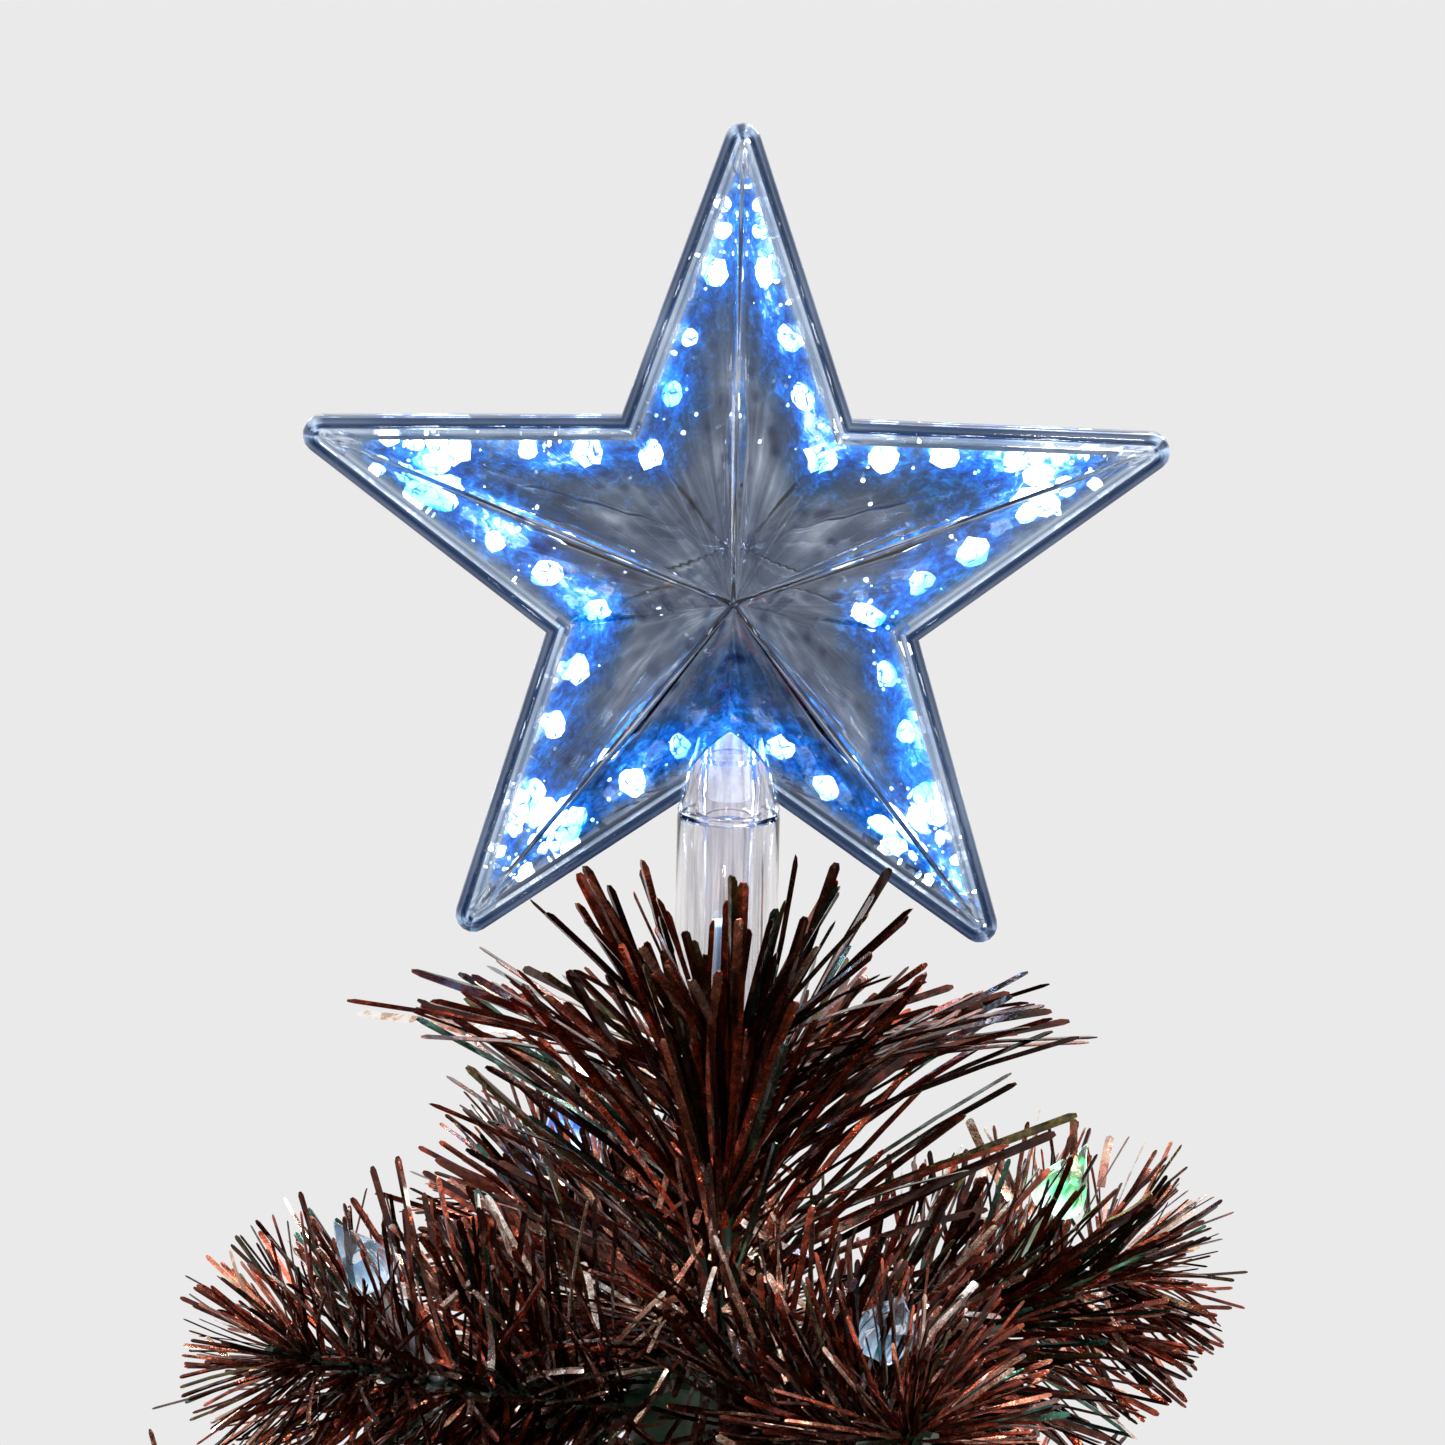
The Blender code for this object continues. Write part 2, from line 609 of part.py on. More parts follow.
def build_switch(base, switch):
    hinge_y = BASE_RADIUS
    face = BASE_RADIUS + CLEARANCE
    body_width = BEZEL_WIDTH - 2 * BEZEL_LIP
    body_height = BEZEL_HEIGHT - 2 * BEZEL_LIP
    bm = bmesh.new()
    add_box(bm, (BEZEL_WIDTH, BEZEL_DEPTH, BEZEL_HEIGHT), (0, face + BEZEL_DEPTH / 2, REAR_CENTRE_Z))
    bezel = add_object("switch_bezel", mesh_from(bm, "switch_bezel"), "dark_plastic", base)
    back = bmesh.new()
    add_box(back, (body_width, BEZEL_BODY_DEPTH, body_height),
            (0, face + BEZEL_DEPTH / 2 - BEZEL_BODY_DEPTH / 2, REAR_CENTRE_Z))
    boolean(bezel, add_cutter("bezel_back", back), "UNION")
    pocket = bmesh.new()
    depth = BEZEL_BODY_DEPTH - BEZEL_WALL
    add_box(pocket, (body_width - 2 * BEZEL_WALL, 2 * depth, body_height - 2 * BEZEL_WALL),
            (0, face + BEZEL_DEPTH / 2, REAR_CENTRE_Z))
    boolean(bezel, add_cutter("bezel_pocket", pocket), "DIFFERENCE")
    build_rocker(switch, hinge_y, body_width, body_height)


def build_rocker(switch, hinge_y, body_width, body_height):
    """The rocker lies pressed at its upper end."""
    half = body_height / 2 - BEZEL_WALL - 3 * CLEARANCE
    width = body_width - 2 * BEZEL_WALL - 2 * CLEARANCE
    outline = [(ROCKER_FACE, half), (ROCKER_FACE - ROCKER_DISH, 0), (ROCKER_FACE, -half),
               (-ROCKER_BACK / 3, -half), (-ROCKER_BACK, -half / 2), (-ROCKER_BACK, half / 2),
               (-ROCKER_BACK / 3, half)]
    spin = Matrix.Rotation(ROCKER_TILT, 3, "X")
    bm = bmesh.new()
    rings = [[spin @ Vector((x, y, z)) for y, z in outline] for x in (-width / 2, width / 2)]
    loft_cap(bm, rings)
    add_object("switch_rocker", mesh_from(bm, "switch_rocker"), "dark_plastic", switch,
               (0, hinge_y, REAR_CENTRE_Z))


def build_inlet(body):
    """A round socket with a pin, turned about an axis that points outward."""
    lip = INLET_LIP + CLEARANCE
    profile = [(0, 0), (INLET_PIN, 0), (INLET_PIN, BEZEL_WALL - INLET_LENGTH),
               (INLET_BORE, BEZEL_WALL - INLET_LENGTH), (INLET_BORE, lip), (INLET_FLANGE, lip),
               (INLET_FLANGE, CLEARANCE), (INLET_RADIUS, CLEARANCE),
               (INLET_RADIUS, -INLET_LENGTH), (0, -INLET_LENGTH)]
    inlet = turned("power_inlet", profile, 14, "dark_plastic", body, closed=False)
    reach = BASE_RADIUS
    inlet.location = (reach * math.cos(INLET_ANGLE), reach * math.sin(INLET_ANGLE), REAR_CENTRE_Z)
    inlet.rotation_euler = (0, math.pi / 2, INLET_ANGLE)


# The trunk


def build_trunk(body):
    tube = [(TRUNK_RADIUS, TRUNK_TOP), (TRUNK_RADIUS, TRUNK_BOTTOM), (TRUNK_BORE, TRUNK_BOTTOM),
            (TRUNK_BORE, TRUNK_TOP)]
    turned("trunk_tube", tube, 20, "green_plastic", body)
    foot = TRUNK_BOTTOM
    ferrule_bore = PLUG_RADIUS - FERRULE_WALL
    ferrule = [(PLUG_RADIUS, foot + FERRULE_HEIGHT), (PLUG_RADIUS, foot), (ferrule_bore, foot),
               (ferrule_bore, foot + FERRULE_HEIGHT)]
    turned("ferrule", ferrule, 16, "bright_metal", body)
    neck = ferrule_bore - CLEARANCE
    shoulder = foot + FERRULE_HEIGHT + CLEARANCE
    top = TRUNK_TOP - LEADER_PLUG_HEIGHT - CLEARANCE
    bundle = [(0, top), (PLUG_RADIUS, top), (PLUG_RADIUS, shoulder), (neck, shoulder),
              (neck, foot), (0, foot)]
    turned("fibre_bundle", bundle, 14, "fibre", body, closed=False)


def wire_height(reach, share):
    """Height of a branch above its tier at a share of its reach."""
    return BRANCH_SLOPE_SHARE * reach * share + BRANCH_LIFT * share * share


def main_wire(reach):
    start = (TRUNK_RADIUS + CLEARANCE) / reach
    shares = [start, 0.3, 0.5, 0.75, 1]
    return [Vector((reach * s, 0, wire_height(reach, s))) for s in shares]


def twig_wire(reach, share, side):
    root = Vector((reach * share, 0, wire_height(reach, share)))
    length = TWIG_LENGTH_SHARE * reach
    away = Vector((math.cos(TWIG_ANGLE), side * math.sin(TWIG_ANGLE), BRANCH_SLOPE_SHARE)).normalized()
    return [root, root + away * length]


def stalk_wire(reach):
    share = STALK_ROOT_SHARE
    root = Vector((reach * share, 0, wire_height(reach, share)))
    return [root, root + Vector((STALK_RUN, 0, STALK_RISE))]


def cap_axis(reach):
    root, end = stalk_wire(reach)
    return (end - root).normalized()


def tier_wires(tier):
    """The wires of one branch: points, radius and the space they keep."""
    reach = TIER_REACHES[tier]
    wires = [(main_wire(reach), WIRE_RADIUS, 0)]
    for share, side in TIER_TWIG_SHARES[tier]:
        wires.append((twig_wire(reach, share, side), TWIG_RADIUS, 0))
    if tier == 0:
        root, end = stalk_wire(reach)
        top = end + cap_axis(reach) * CAP_HEIGHT
        wires.append(([root, end], STALK_RADIUS, 0))
        wires.append(([end, top], STALK_RADIUS, CAP_RADIUS))
    return wires


def placed(points, tier, member):
    turn = TIER_TURNS[tier] + 2 * math.pi * member / BRANCHES_IN_TIER
    spin = Matrix.Rotation(turn, 3, "Z")
    return [spin @ point + Vector((0, 0, TIER_HEIGHTS[tier])) for point in points]


def all_wires():
    """Every wire of the tree in world space, under its tier, member and number."""
    found = {}
    for tier in range(len(TIER_HEIGHTS)):
        for number, (points, _, keep) in enumerate(tier_wires(tier)):
            for member in range(BRANCHES_IN_TIER):
                found[(tier, member, number)] = (placed(points, tier, member), keep)
    low = Vector((0, 0, TRUNK_TOP))
    found[(-1, 0, 0)] = ([low, Vector((0, 0, LEADER_TOP))], 0)
    return found


def distance_to(point, wire):
    points, keep = wire
    best = math.inf
    for start, end in zip(points, points[1:]):
        run = end - start
        share = max(0, min(1, (point - start).dot(run) / run.length_squared))
        best = min(best, (point - start - run * share).length)
    return best - keep


def trimmed(root, away, length, own, wires):
    """The longest share of a strand that stays nearer its own wire than any other."""
    near = [wire for key, wire in wires.items() if key != own and abs(key[0] - own[0]) <= 1]
    for share in TRIM_SHARES:
        probes = [root + away * length * share * part for part in TRIM_PROBE_SHARES]
        if all(clear_of(probe, wires[own], near) for probe in probes):
            return root + away * length * share
    return None


def clear_of(probe, own, others):
    limit = distance_to(probe, own) + STRAND_GAP
    return all(distance_to(probe, other) > limit for other in others)


def along(points, travelled):
    """The point and direction at a distance along a wire."""
    for start, end in zip(points, points[1:]):
        run = end - start
        if travelled <= run.length or end is points[-1]:
            return start + run.normalized() * travelled, run.normalized()
        travelled -= run.length


def wire_length(points):
    return sum((end - start).length for start, end in zip(points, points[1:]))


def wire_strands(points, start, count, own, wires):
    """Strands in a spiral round a wire, leaning further forward at its tip."""
    found = []
    total = wire_length(points)
    tip = total - STRAND_WIDTH
    for i in range(count):
        share = i / (count - 1)
        root, axis = along(points, start + (tip - start) * share)
        lean = STRAND_TIP_TILT + (STRAND_TILT - STRAND_TIP_TILT) * min(1, 3 * (1 - share))
        side = axis.cross(Vector((0, 0, 1))).normalized()
        rise = side.cross(axis)
        turn = GOLDEN_ANGLE * (i + own[2] * 3)
        away = axis * math.cos(lean) + (side * math.cos(turn) + rise * math.sin(turn)) * math.sin(lean)
        end = trimmed(root, away, STRAND_LENGTHS[own[0]], own, wires)
        if end:
            found.append((root, end))
    return found


def add_strand(bm, root, tip, width=STRAND_WIDTH):
    """A flat three-sided strip from a root inside the wire to its square-cut tip."""
    run = tip - root
    turn = run.to_track_quat("Z", "X").to_matrix().to_4x4()
    size = Matrix.Diagonal((width / 2, STRAND_THICKNESS / 2, run.length, 1))
    bmesh.ops.create_cone(
        bm, segments=3, radius1=1, radius2=1, depth=1, cap_ends=True,
        matrix=Matrix.Translation(root + run / 2) @ turn @ size)


def wire_mesh(name, points, radius):
    """A wire with round sides and closed ends, as a mesh."""
    curve = bpy.data.curves.new(name, "CURVE")
    curve.dimensions = "3D"
    curve.bevel_depth = radius
    curve.bevel_resolution = 1
    curve.use_fill_caps = True
    spline = curve.splines.new("POLY")
    spline.points.add(len(points) - 1)
    for knot, point in zip(spline.points, points):
        knot.co = (*point, 1)
    obj = bpy.data.objects.new(name, curve)
    CUTTERS.objects.link(obj)
    bpy.context.view_layer.update()
    mesh = bpy.data.meshes.new_from_object(obj.evaluated_get(bpy.context.evaluated_depsgraph_get()))
    bm = bmesh.new()
    bm.from_mesh(mesh)
    bmesh.ops.remove_doubles(bm, verts=bm.verts, dist=MERGE)
    bpy.data.objects.remove(obj)
    return bm


def fused_mesh(name, main, additions, look):
    """One closed mesh of a main shape and the shapes added to it."""
    obj = bpy.data.objects.new(name, mesh_from(main, name))
    CUTTERS.objects.link(obj)
    for number, addition in enumerate(additions):
        boolean(obj, add_cutter(f"{name}_{number}", addition), "UNION")
    bpy.context.view_layer.update()
    mesh = bpy.data.meshes.new_from_object(obj.evaluated_get(bpy.context.evaluated_depsgraph_get()))
    mesh.name = name
    for modifier in list(obj.modifiers):
        bpy.data.objects.remove(modifier.object)
    bpy.data.objects.remove(obj)
    mesh.materials.clear()
    mesh.materials.append(material(look))
    return mesh


def branch_strands(tier, wires):
    """The strands of one branch in its own space."""
    bm = bmesh.new()
    own_wires = tier_wires(tier)
    leafy = [i for i, (points, _, _) in enumerate(own_wires) if i <= len(TIER_TWIG_SHARES[tier])]
    lengths = [wire_length(own_wires[i][0]) for i in leafy]
    lengths[0] -= FOLIAGE_START
    back = Matrix.Rotation(-TIER_TURNS[tier], 3, "Z")
    drop = Vector((0, 0, TIER_HEIGHTS[tier]))
    for i in leafy:
        start = FOLIAGE_START - TRUNK_RADIUS if i == 0 else STRAND_LENGTHS[tier] / 4
        count = max(4, round(TIER_STRANDS[tier] * lengths[i] / sum(lengths)))
        points, _ = wires[(tier, 0, i)]
        for root, tip in wire_strands(points, start, count, (tier, 0, i), wires):
            add_strand(bm, back @ (root - drop), back @ (tip - drop))
    return bm


def build_tier(tier, body, wires):
    reach = TIER_REACHES[tier]
    own_wires = tier_wires(tier)
    points, radius, _ = own_wires[0]
    additions = [wire_mesh("side_wire", side_points, side_radius)
                 for side_points, side_radius, keep in own_wires[1:] if keep == 0]
    additions.append(branch_strands(tier, wires))
    name = f"branch_{tier + 1}"
    look = "copper_foil" if tier % 2 == 0 else "bronze_foil"
    mesh = fused_mesh(name, wire_mesh(name, points, radius), additions, look)
    for member in range(BRANCHES_IN_TIER):
        turn = TIER_TURNS[tier] + 2 * math.pi * member / BRANCHES_IN_TIER
        add_object(f"{name}_{member + 1}", mesh, look, body, (0, 0, TIER_HEIGHTS[tier]), turn)
    build_collar(tier, body, points)


def build_collar(tier, body, points):
    """A ring on the trunk with a socket for each branch."""
    root, axis = points[0], (points[1] - points[0]).normalized()
    middle = TIER_HEIGHTS[tier] + root.z
    bore = TRUNK_RADIUS + CLEARANCE
    ring = [(COLLAR_RADIUS, middle + COLLAR_HEIGHT / 2), (COLLAR_RADIUS, middle - COLLAR_HEIGHT / 2),
            (bore, middle - COLLAR_HEIGHT / 2), (bore, middle + COLLAR_HEIGHT / 2)]
    collar = turned(f"tier_collar_{tier + 1}", ring, 16, "green_plastic", body)
    sockets = bmesh.new()
    for member in range(BRANCHES_IN_TIER):
        inner, outer = placed([root - axis * OVERRUN, root + axis * COLLAR_RADIUS], tier, member)
        add_rod(sockets, WIRE_RADIUS + CLEARANCE, inner, outer, 8)
    boolean(collar, add_cutter(f"collar_sockets_{tier + 1}", sockets), "DIFFERENCE")


def build_caps(body):
    reach = TIER_REACHES[0]
    end = stalk_wire(reach)[1]
    axis = cap_axis(reach)
    bore = STALK_RADIUS + CLEARANCE
    outside = [(share * CAP_RADIUS, up * CAP_HEIGHT) for share, up in CAP_SHARES]
    profile = [*outside, (bore, 0), (bore, CAP_BORE_DEPTH), (0, CAP_BORE_DEPTH)]
    seat = end - axis * (CAP_BORE_DEPTH - CLEARANCE)
    for member in range(BRANCHES_IN_TIER):
        place = placed([seat], 0, member)[0]
        cap = turned(f"tip_cap_{member + 1}", profile, 8, "clear_plastic", body, place, closed=False)
        turn = TIER_TURNS[0] + 2 * math.pi * member / BRANCHES_IN_TIER
        cap.rotation_euler = (0, math.atan2(axis.x, axis.z), turn)


def build_leader(body, wires):
    bottom = TRUNK_TOP - LEADER_PLUG_HEIGHT
    shelf = TRUNK_TOP + CLEARANCE
    profile = [(0, LEADER_TOP), (LEADER_RADIUS, LEADER_TOP),
               (LEADER_RADIUS, shelf + LEADER_FOOT_HEIGHT), (TRUNK_RADIUS, shelf),
               (PLUG_RADIUS, shelf), (PLUG_RADIUS, bottom), (0, bottom)]
    bm = bmesh.new()
    strands = []
    for i in range(LEADER_STRANDS):
        share = i / (LEADER_STRANDS - 1)
        rise = LEADER_FIRST_RISE + (LEADER_LAST_RISE - LEADER_FIRST_RISE) * share
        root = Vector((0, 0, TRUNK_TOP + rise))
        lean = LEADER_LOW_TILT + (LEADER_HIGH_TILT - LEADER_LOW_TILT) * share
        turn = GOLDEN_ANGLE * i
        away = Vector((math.sin(lean) * math.cos(turn), math.sin(lean) * math.sin(turn), math.cos(lean)))
        beside_star = abs(math.sin(turn)) > LEADER_OPEN_SHARE
        drop = LEADER_OPEN_DROP if beside_star else LEADER_CEILING_DROP
        length = min(LEADER_STRAND_LENGTH, (STAR_CENTRE_Z - drop - root.z) / away.z)
        tip = trimmed(root, away, length, (-1, 0, 0), wires)
        if tip:
            strands.append((root + away * STRAND_WIDTH, tip))
    for root, tip in strands:
        add_strand(bm, root, tip)
    leader = turned("leader", profile, 12, "bronze_foil", body, closed=False)
    boolean(leader, add_cutter("leader_strands", bm), "UNION")
    collar_bottom = LEADER_COLLAR_TOP - LEADER_COLLAR_HEIGHT
    bore = LEADER_RADIUS + CLEARANCE
    collar = [(LEADER_COLLAR_RADIUS, LEADER_COLLAR_TOP), (LEADER_COLLAR_RADIUS, collar_bottom),
              (bore, collar_bottom), (bore, LEADER_COLLAR_TOP)]
    turned("leader_collar", collar, 20, "dark_plastic", body)


# The star


def star_outline(share, rounding, y, fluted=0):
    """Points round the star; the edges between tips carry shallow flutes."""
    tip, notch = STAR_TIP * share, STAR_NOTCH * share
    half = math.pi / STAR_POINTS
    lean = math.atan2(notch * math.sin(half), tip - notch * math.cos(half))
    centre = tip - rounding / math.sin(lean)
    points = []
    for arm in range(STAR_POINTS):
        axis = math.pi / 2 + 2 * half * arm
        arc = []
        for i in range(STAR_ARC_STEPS + 1):
            swing = (math.pi / 2 - lean) * (2 * i / STAR_ARC_STEPS - 1)
            arc.append(Vector((centre + rounding * math.cos(swing), rounding * math.sin(swing))))
        notch_point = Vector((notch * math.cos(half), notch * math.sin(half)))
        first = [mirrored(p) for p in edge_points(notch_point, mirrored(arc[0]))]
        second = list(reversed(edge_points(notch_point, arc[-1])))
        row = [(p, k % 2) for k, p in enumerate(first)] + [(p, 0) for p in arc]
        row += [(p, (k + FLUTES) % 2) for k, p in enumerate(second)]
        row.append((notch_point, 0))
        for point, odd in row:
            x = point.x * math.cos(axis) - point.y * math.sin(axis)
            z = point.x * math.sin(axis) + point.y * math.cos(axis)
            points.append(Vector((x, y + fluted * odd, z)))
    return points


def mirrored(point):
    return Vector((point.x, -point.y))


def edge_points(start, end):
    """Points between a notch and a tip's arc, without either."""
    return [start + (end - start) * (i / FLUTES) for i in range(1, FLUTES)]


def star_solid(side):
    """The outer form of a half: side -1 is the front, 1 the back."""
    bm = bmesh.new()
    face = side * CLEARANCE / 2
    rings = [star_outline(1, STAR_ROUNDING, face),
             star_outline(1, STAR_ROUNDING, side * STAR_RIM_DEPTH),
             star_outline(FACET_SHARE, STAR_ROUNDING * FACET_SHARE / STAR_POINTS,
                          side * STAR_RIM_DEPTH, -side * FLUTE_DEPTH)]
    add_apex(bm, loft(bm, rings), side * STAR_DEPTH)
    return bm


def cavity_share():
    """How much smaller the hollow is than the facets, for an even wall."""
    tip = Vector((STAR_TIP * FACET_SHARE, 0, STAR_RIM_DEPTH))
    half = math.pi / STAR_POINTS
    notch = Vector((STAR_NOTCH * math.cos(half), STAR_NOTCH * math.sin(half), 0)) * FACET_SHARE
    notch.z = STAR_RIM_DEPTH
    apex = Vector((0, 0, STAR_DEPTH))
    normal = (tip - apex).cross(notch - apex).normalized()
    return 1 - (STAR_WALL + FLUTE_DEPTH) / abs(normal.dot(apex))


def star_hollow(side):
    bm = bmesh.new()
    share = cavity_share()
    rounding = STAR_ROUNDING * FACET_SHARE / STAR_POINTS
    rings = [star_outline(FACET_SHARE * share, rounding, -side * OVERRUN),
             star_outline(FACET_SHARE * share, rounding, side * STAR_RIM_DEPTH * share)]
    add_apex(bm, loft(bm, rings), side * STAR_DEPTH * share)
    return bm


def add_apex(bm, ring, depth):
    apex = bm.verts.new((0, depth, 0))
    for i in range(len(ring)):
        bm.faces.new((ring[i], ring[(i + 1) % len(ring)], apex))


def facet_depth(out, across):
    """Depth of the hollow's facet at a place along and across an arm."""
    share = cavity_share()
    deep, rim = STAR_DEPTH * share, STAR_RIM_DEPTH * share
    half = math.pi / STAR_POINTS
    tip = STAR_TIP * FACET_SHARE * share
    notch = STAR_NOTCH * FACET_SHARE * share
    fall = (deep - rim) / tip
    fall_across = (deep - rim - fall * notch * math.cos(half)) / (notch * math.sin(half))
    return deep - fall * out - fall_across * abs(across)


def star_pips():
    """Small raised lenses along each edge, on the inside of the back half."""
    bm = bmesh.new()
    half = math.pi / STAR_POINTS
    for arm in range(STAR_POINTS):
        axis = math.pi / 2 + 2 * half * arm
        for side in (-1, 1):
            for out_share, across_share in PIP_SHARES:
                add_pip(bm, axis, out_share * STAR_TIP, side * across_share * STAR_TIP)
        if arm != 2:
            out = PIP_NOTCH_SHARE * STAR_TIP
            add_pip(bm, axis, out * math.cos(half), out * math.sin(half))
    return bm


def add_pip(bm, axis, out, across):
    depth = facet_depth(out, across)
    x = out * math.cos(axis) - across * math.sin(axis)
    z = out * math.sin(axis) + across * math.cos(axis)
    add_rod(bm, PIP_RADIUS, (x, depth + STAR_WALL / 2, z), (x, depth - PIP_HEIGHT, z), PIP_SIDES,
            PIP_RADIUS / 2)


def neck_cutter():
    """The room for the neck, its tube and the bead on it."""
    bm = bmesh.new()
    add_rod(bm, NECK_RADIUS + CLEARANCE, (0, 0, -STAR_TIP), (0, 0, NECK_TOP + CLEARANCE), 20)
    return bm


def tube_cutter():
    bm = bmesh.new()
    add_rod(bm, TUBE_RADIUS + TUBE_BEAD + CLEARANCE, (0, 0, NECK_TOP - OVERRUN), (0, 0, TUBE_TOP), 20)
    return bm


def build_star(body):
    place = (0, 0, STAR_CENTRE_Z)
    for name, side in (("star_front", -1), ("star_back", 1)):
        half = add_object(name, mesh_from(star_solid(side), name), "clear_plastic", body, place)
        boolean(half, add_cutter(name + "_hollow", star_hollow(side), place=place), "DIFFERENCE")
        if side == 1:
            boolean(half, add_cutter("star_pips", star_pips(), place=place), "UNION")
        boolean(half, add_cutter(name + "_neck_room", neck_cutter(), place=place), "DIFFERENCE")
        boolean(half, add_cutter(name + "_tube_room", tube_cutter(), place=place), "DIFFERENCE")
    build_neck(body, place)


def build_neck(body, place):
    bore = LEADER_RADIUS + CLEARANCE
    wall = TUBE_RADIUS - bore
    web_bottom = NECK_TOP - WEB_THICKNESS
    profile = [(0, TUBE_TOP), (TUBE_RADIUS * 0.6, TUBE_TOP - wall * 0.3),
               (TUBE_RADIUS, TUBE_TOP - wall * 1.6), (TUBE_RADIUS, TUBE_BEAD_Z + TUBE_BEAD),
               (TUBE_RADIUS + TUBE_BEAD, TUBE_BEAD_Z), (TUBE_RADIUS, TUBE_BEAD_Z - TUBE_BEAD),
               (TUBE_RADIUS, NECK_TOP), (NECK_RADIUS, NECK_TOP), (NECK_RADIUS, NECK_BOTTOM),
               (NECK_RADIUS - NECK_WALL, NECK_BOTTOM), (NECK_RADIUS - NECK_WALL, web_bottom),
               (TUBE_RADIUS, web_bottom), (TUBE_RADIUS, NECK_BOTTOM + TUBE_LEAD),
               (bore, NECK_BOTTOM + TUBE_LEAD), (bore, TUBE_TOP - wall * 2), (0, TUBE_TOP - wall)]
    turned("star_socket", profile, 16, "clear_plastic", body, place, closed=False)
    diffuser = bmesh.new()
    add_rod(diffuser, LEADER_RADIUS, (0, 0, DIFFUSER_TOP - DIFFUSER_HEIGHT), (0, 0, DIFFUSER_TOP), 14)
    add_object("star_diffuser", mesh_from(diffuser, "star_diffuser"), "frosted_plastic", body, place)


def build_tree():
    base = make_body("base", (0, 0, 0))
    wheel = make_body("colour_wheel", (0, WHEEL_OFFSET, WHEEL_Z), base)
    switch = make_body("switch", (0, BASE_RADIUS, REAR_CENTRE_Z), base)
    tree = make_body("tree", (0, 0, TRUNK_BOTTOM), base)
    star = make_body("star", (0, 0, STAR_CENTRE_Z), tree)
    build_base_shell(base)
    build_base_plate(base)
    build_feet(base)
    build_chassis(base)
    build_lamp(base)
    build_reflector(base)
    build_motor(base)
    build_wheel(wheel)
    build_switch(base, switch)
    build_inlet(base)
    wires = all_wires()
    build_trunk(tree)
    for tier in range(len(TIER_HEIGHTS)):
        build_tier(tier, tree, wires)
    build_caps(tree)
    build_leader(tree, wires)
    build_star(star)


clear_scene()
TREE_PARTS = make_collection("fibre_optic_christmas_tree")
CUTTERS = make_collection("cutters", hidden=True)
build_tree()
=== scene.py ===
"""Looks of a table-top fibre optic Christmas tree with a lit clear star.

Metres in the tree's own frame: +Z up, the floor at zero, the star facing -Y.
The camera and the stage come first, then the finishes, the star, the foil
branches, the fibres and the base.
"""

import math
import random

import bmesh
import bpy
import numpy as np
from mathutils import Matrix, Vector, noise


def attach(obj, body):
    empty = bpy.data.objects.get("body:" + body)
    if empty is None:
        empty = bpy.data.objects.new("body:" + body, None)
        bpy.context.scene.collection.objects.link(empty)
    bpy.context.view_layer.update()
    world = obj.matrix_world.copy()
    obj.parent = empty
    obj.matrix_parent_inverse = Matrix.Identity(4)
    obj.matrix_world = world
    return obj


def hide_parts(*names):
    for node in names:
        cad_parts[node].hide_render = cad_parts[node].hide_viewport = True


MM = 0.001
UP = Vector((0, 0, 1))
WELD = 0.002 * MM

# Stage
FLOOR_RADIUS = 1.25

# Star and neck, as in the solids but for a thinner wall, which lets the light through.
# The wall drop is its depth along Y, through the sloping facets.
STAR = Vector((0, 0, 0.575))
STAR_TIP = 70 * MM
STAR_NOTCH = 28 * MM
STAR_DEPTH = 24 * MM
STAR_WALL = 1.0 * MM
WALL_DROP = STAR_WALL / 0.69
RIM_WIDTH = 3.1 * MM
RIM_DEPTH = 2.9 * MM
TIP_ROUNDING = 2.6 * MM
HALF_ARM = math.pi / 5
WHOLE_ARM = 2 * HALF_ARM
EDGE_STEPS = 12
TIP_STEPS = 6
FLUTE_DEPTH = 0.32 * MM
PIP_SHARES = [(0.755, 0.03, 0.62), (0.7, 0.031, 0.6), (0.614, 0.047, 1.15), (0.48, 0.098, 1),
              (0.36, 0.131, 1.1)]
RIM_SHARE = 0.865
SPARK_REACH = 6.7 * MM
CLUSTER_SHARES = [(0.655, 0.0, 1.3), (0.655, 0.05, 1.1)]
NECK_HOLE = [(0, -21.9), (4.95, -21.9), (7.7, -34), (7.7, -70), (0, -70)]

# Branches, as in the solids
TRUNK_RADIUS = 9 * MM
TRUNK_TOP = 0.457
TIER_HEIGHTS = [0.45, 0.384, 0.316, 0.246, 0.176]
TIER_REACHES = [0.07, 0.092, 0.114, 0.135, 0.154]
TIER_TURNS = [24.7, 69.7, 24.7, 69.7, 24.7]
TIER_TWIGS = [[], [(0.36, 1), (0.46, -1)], [(0.36, 1), (0.44, -1)],
              [(0.3, 1), (0.37, -1), (0.62, 1), (0.69, -1)],
              [(0.28, 1), (0.34, -1), (0.6, 1), (0.66, -1)]]
BRANCH_RISE = 0.16
BRANCH_CURL = 6 * MM
TWIG_TURN = math.radians(38)
TWIG_REACH = 0.42
WIRE_RADIUS = 1.5 * MM
TWIG_RADIUS = 1.1 * MM

# Foil
STRIP_WIDTH = 1.4 * MM
STRIP_FOLD = 0.42 * MM
STRIP_LENGTH = 46 * MM
STRIP_SHARES = [0, 0.25, 0.5, 0.75, 0.98, 1]
STRIPS_IN_TUFT = 44
TUFT_STEP = 8 * MM
TUFT_SIZES = [0.8, 0.94, 1, 1, 1]
TIP_TAPERS = [0.55, 0.25, 0.2, 0.2, 0.2]
BRUSH_SIZES = [0.42, 0.66, 0.74, 0.76, 0.76]
LEADER_STRIPS = 240
LEADER_STRIP_LENGTH = 56 * MM
REAR_STRIPS = 64
CROWN_STRIPS = 180
TRUNK_STRIPS = 180
LEADER_FOOT = 0.46
LEADER_RISE = 0.042
GLINT_LENGTH = 15 * MM
GLINTS_AT_AXIS = 84
GLINTS_ON_BRANCH = 34

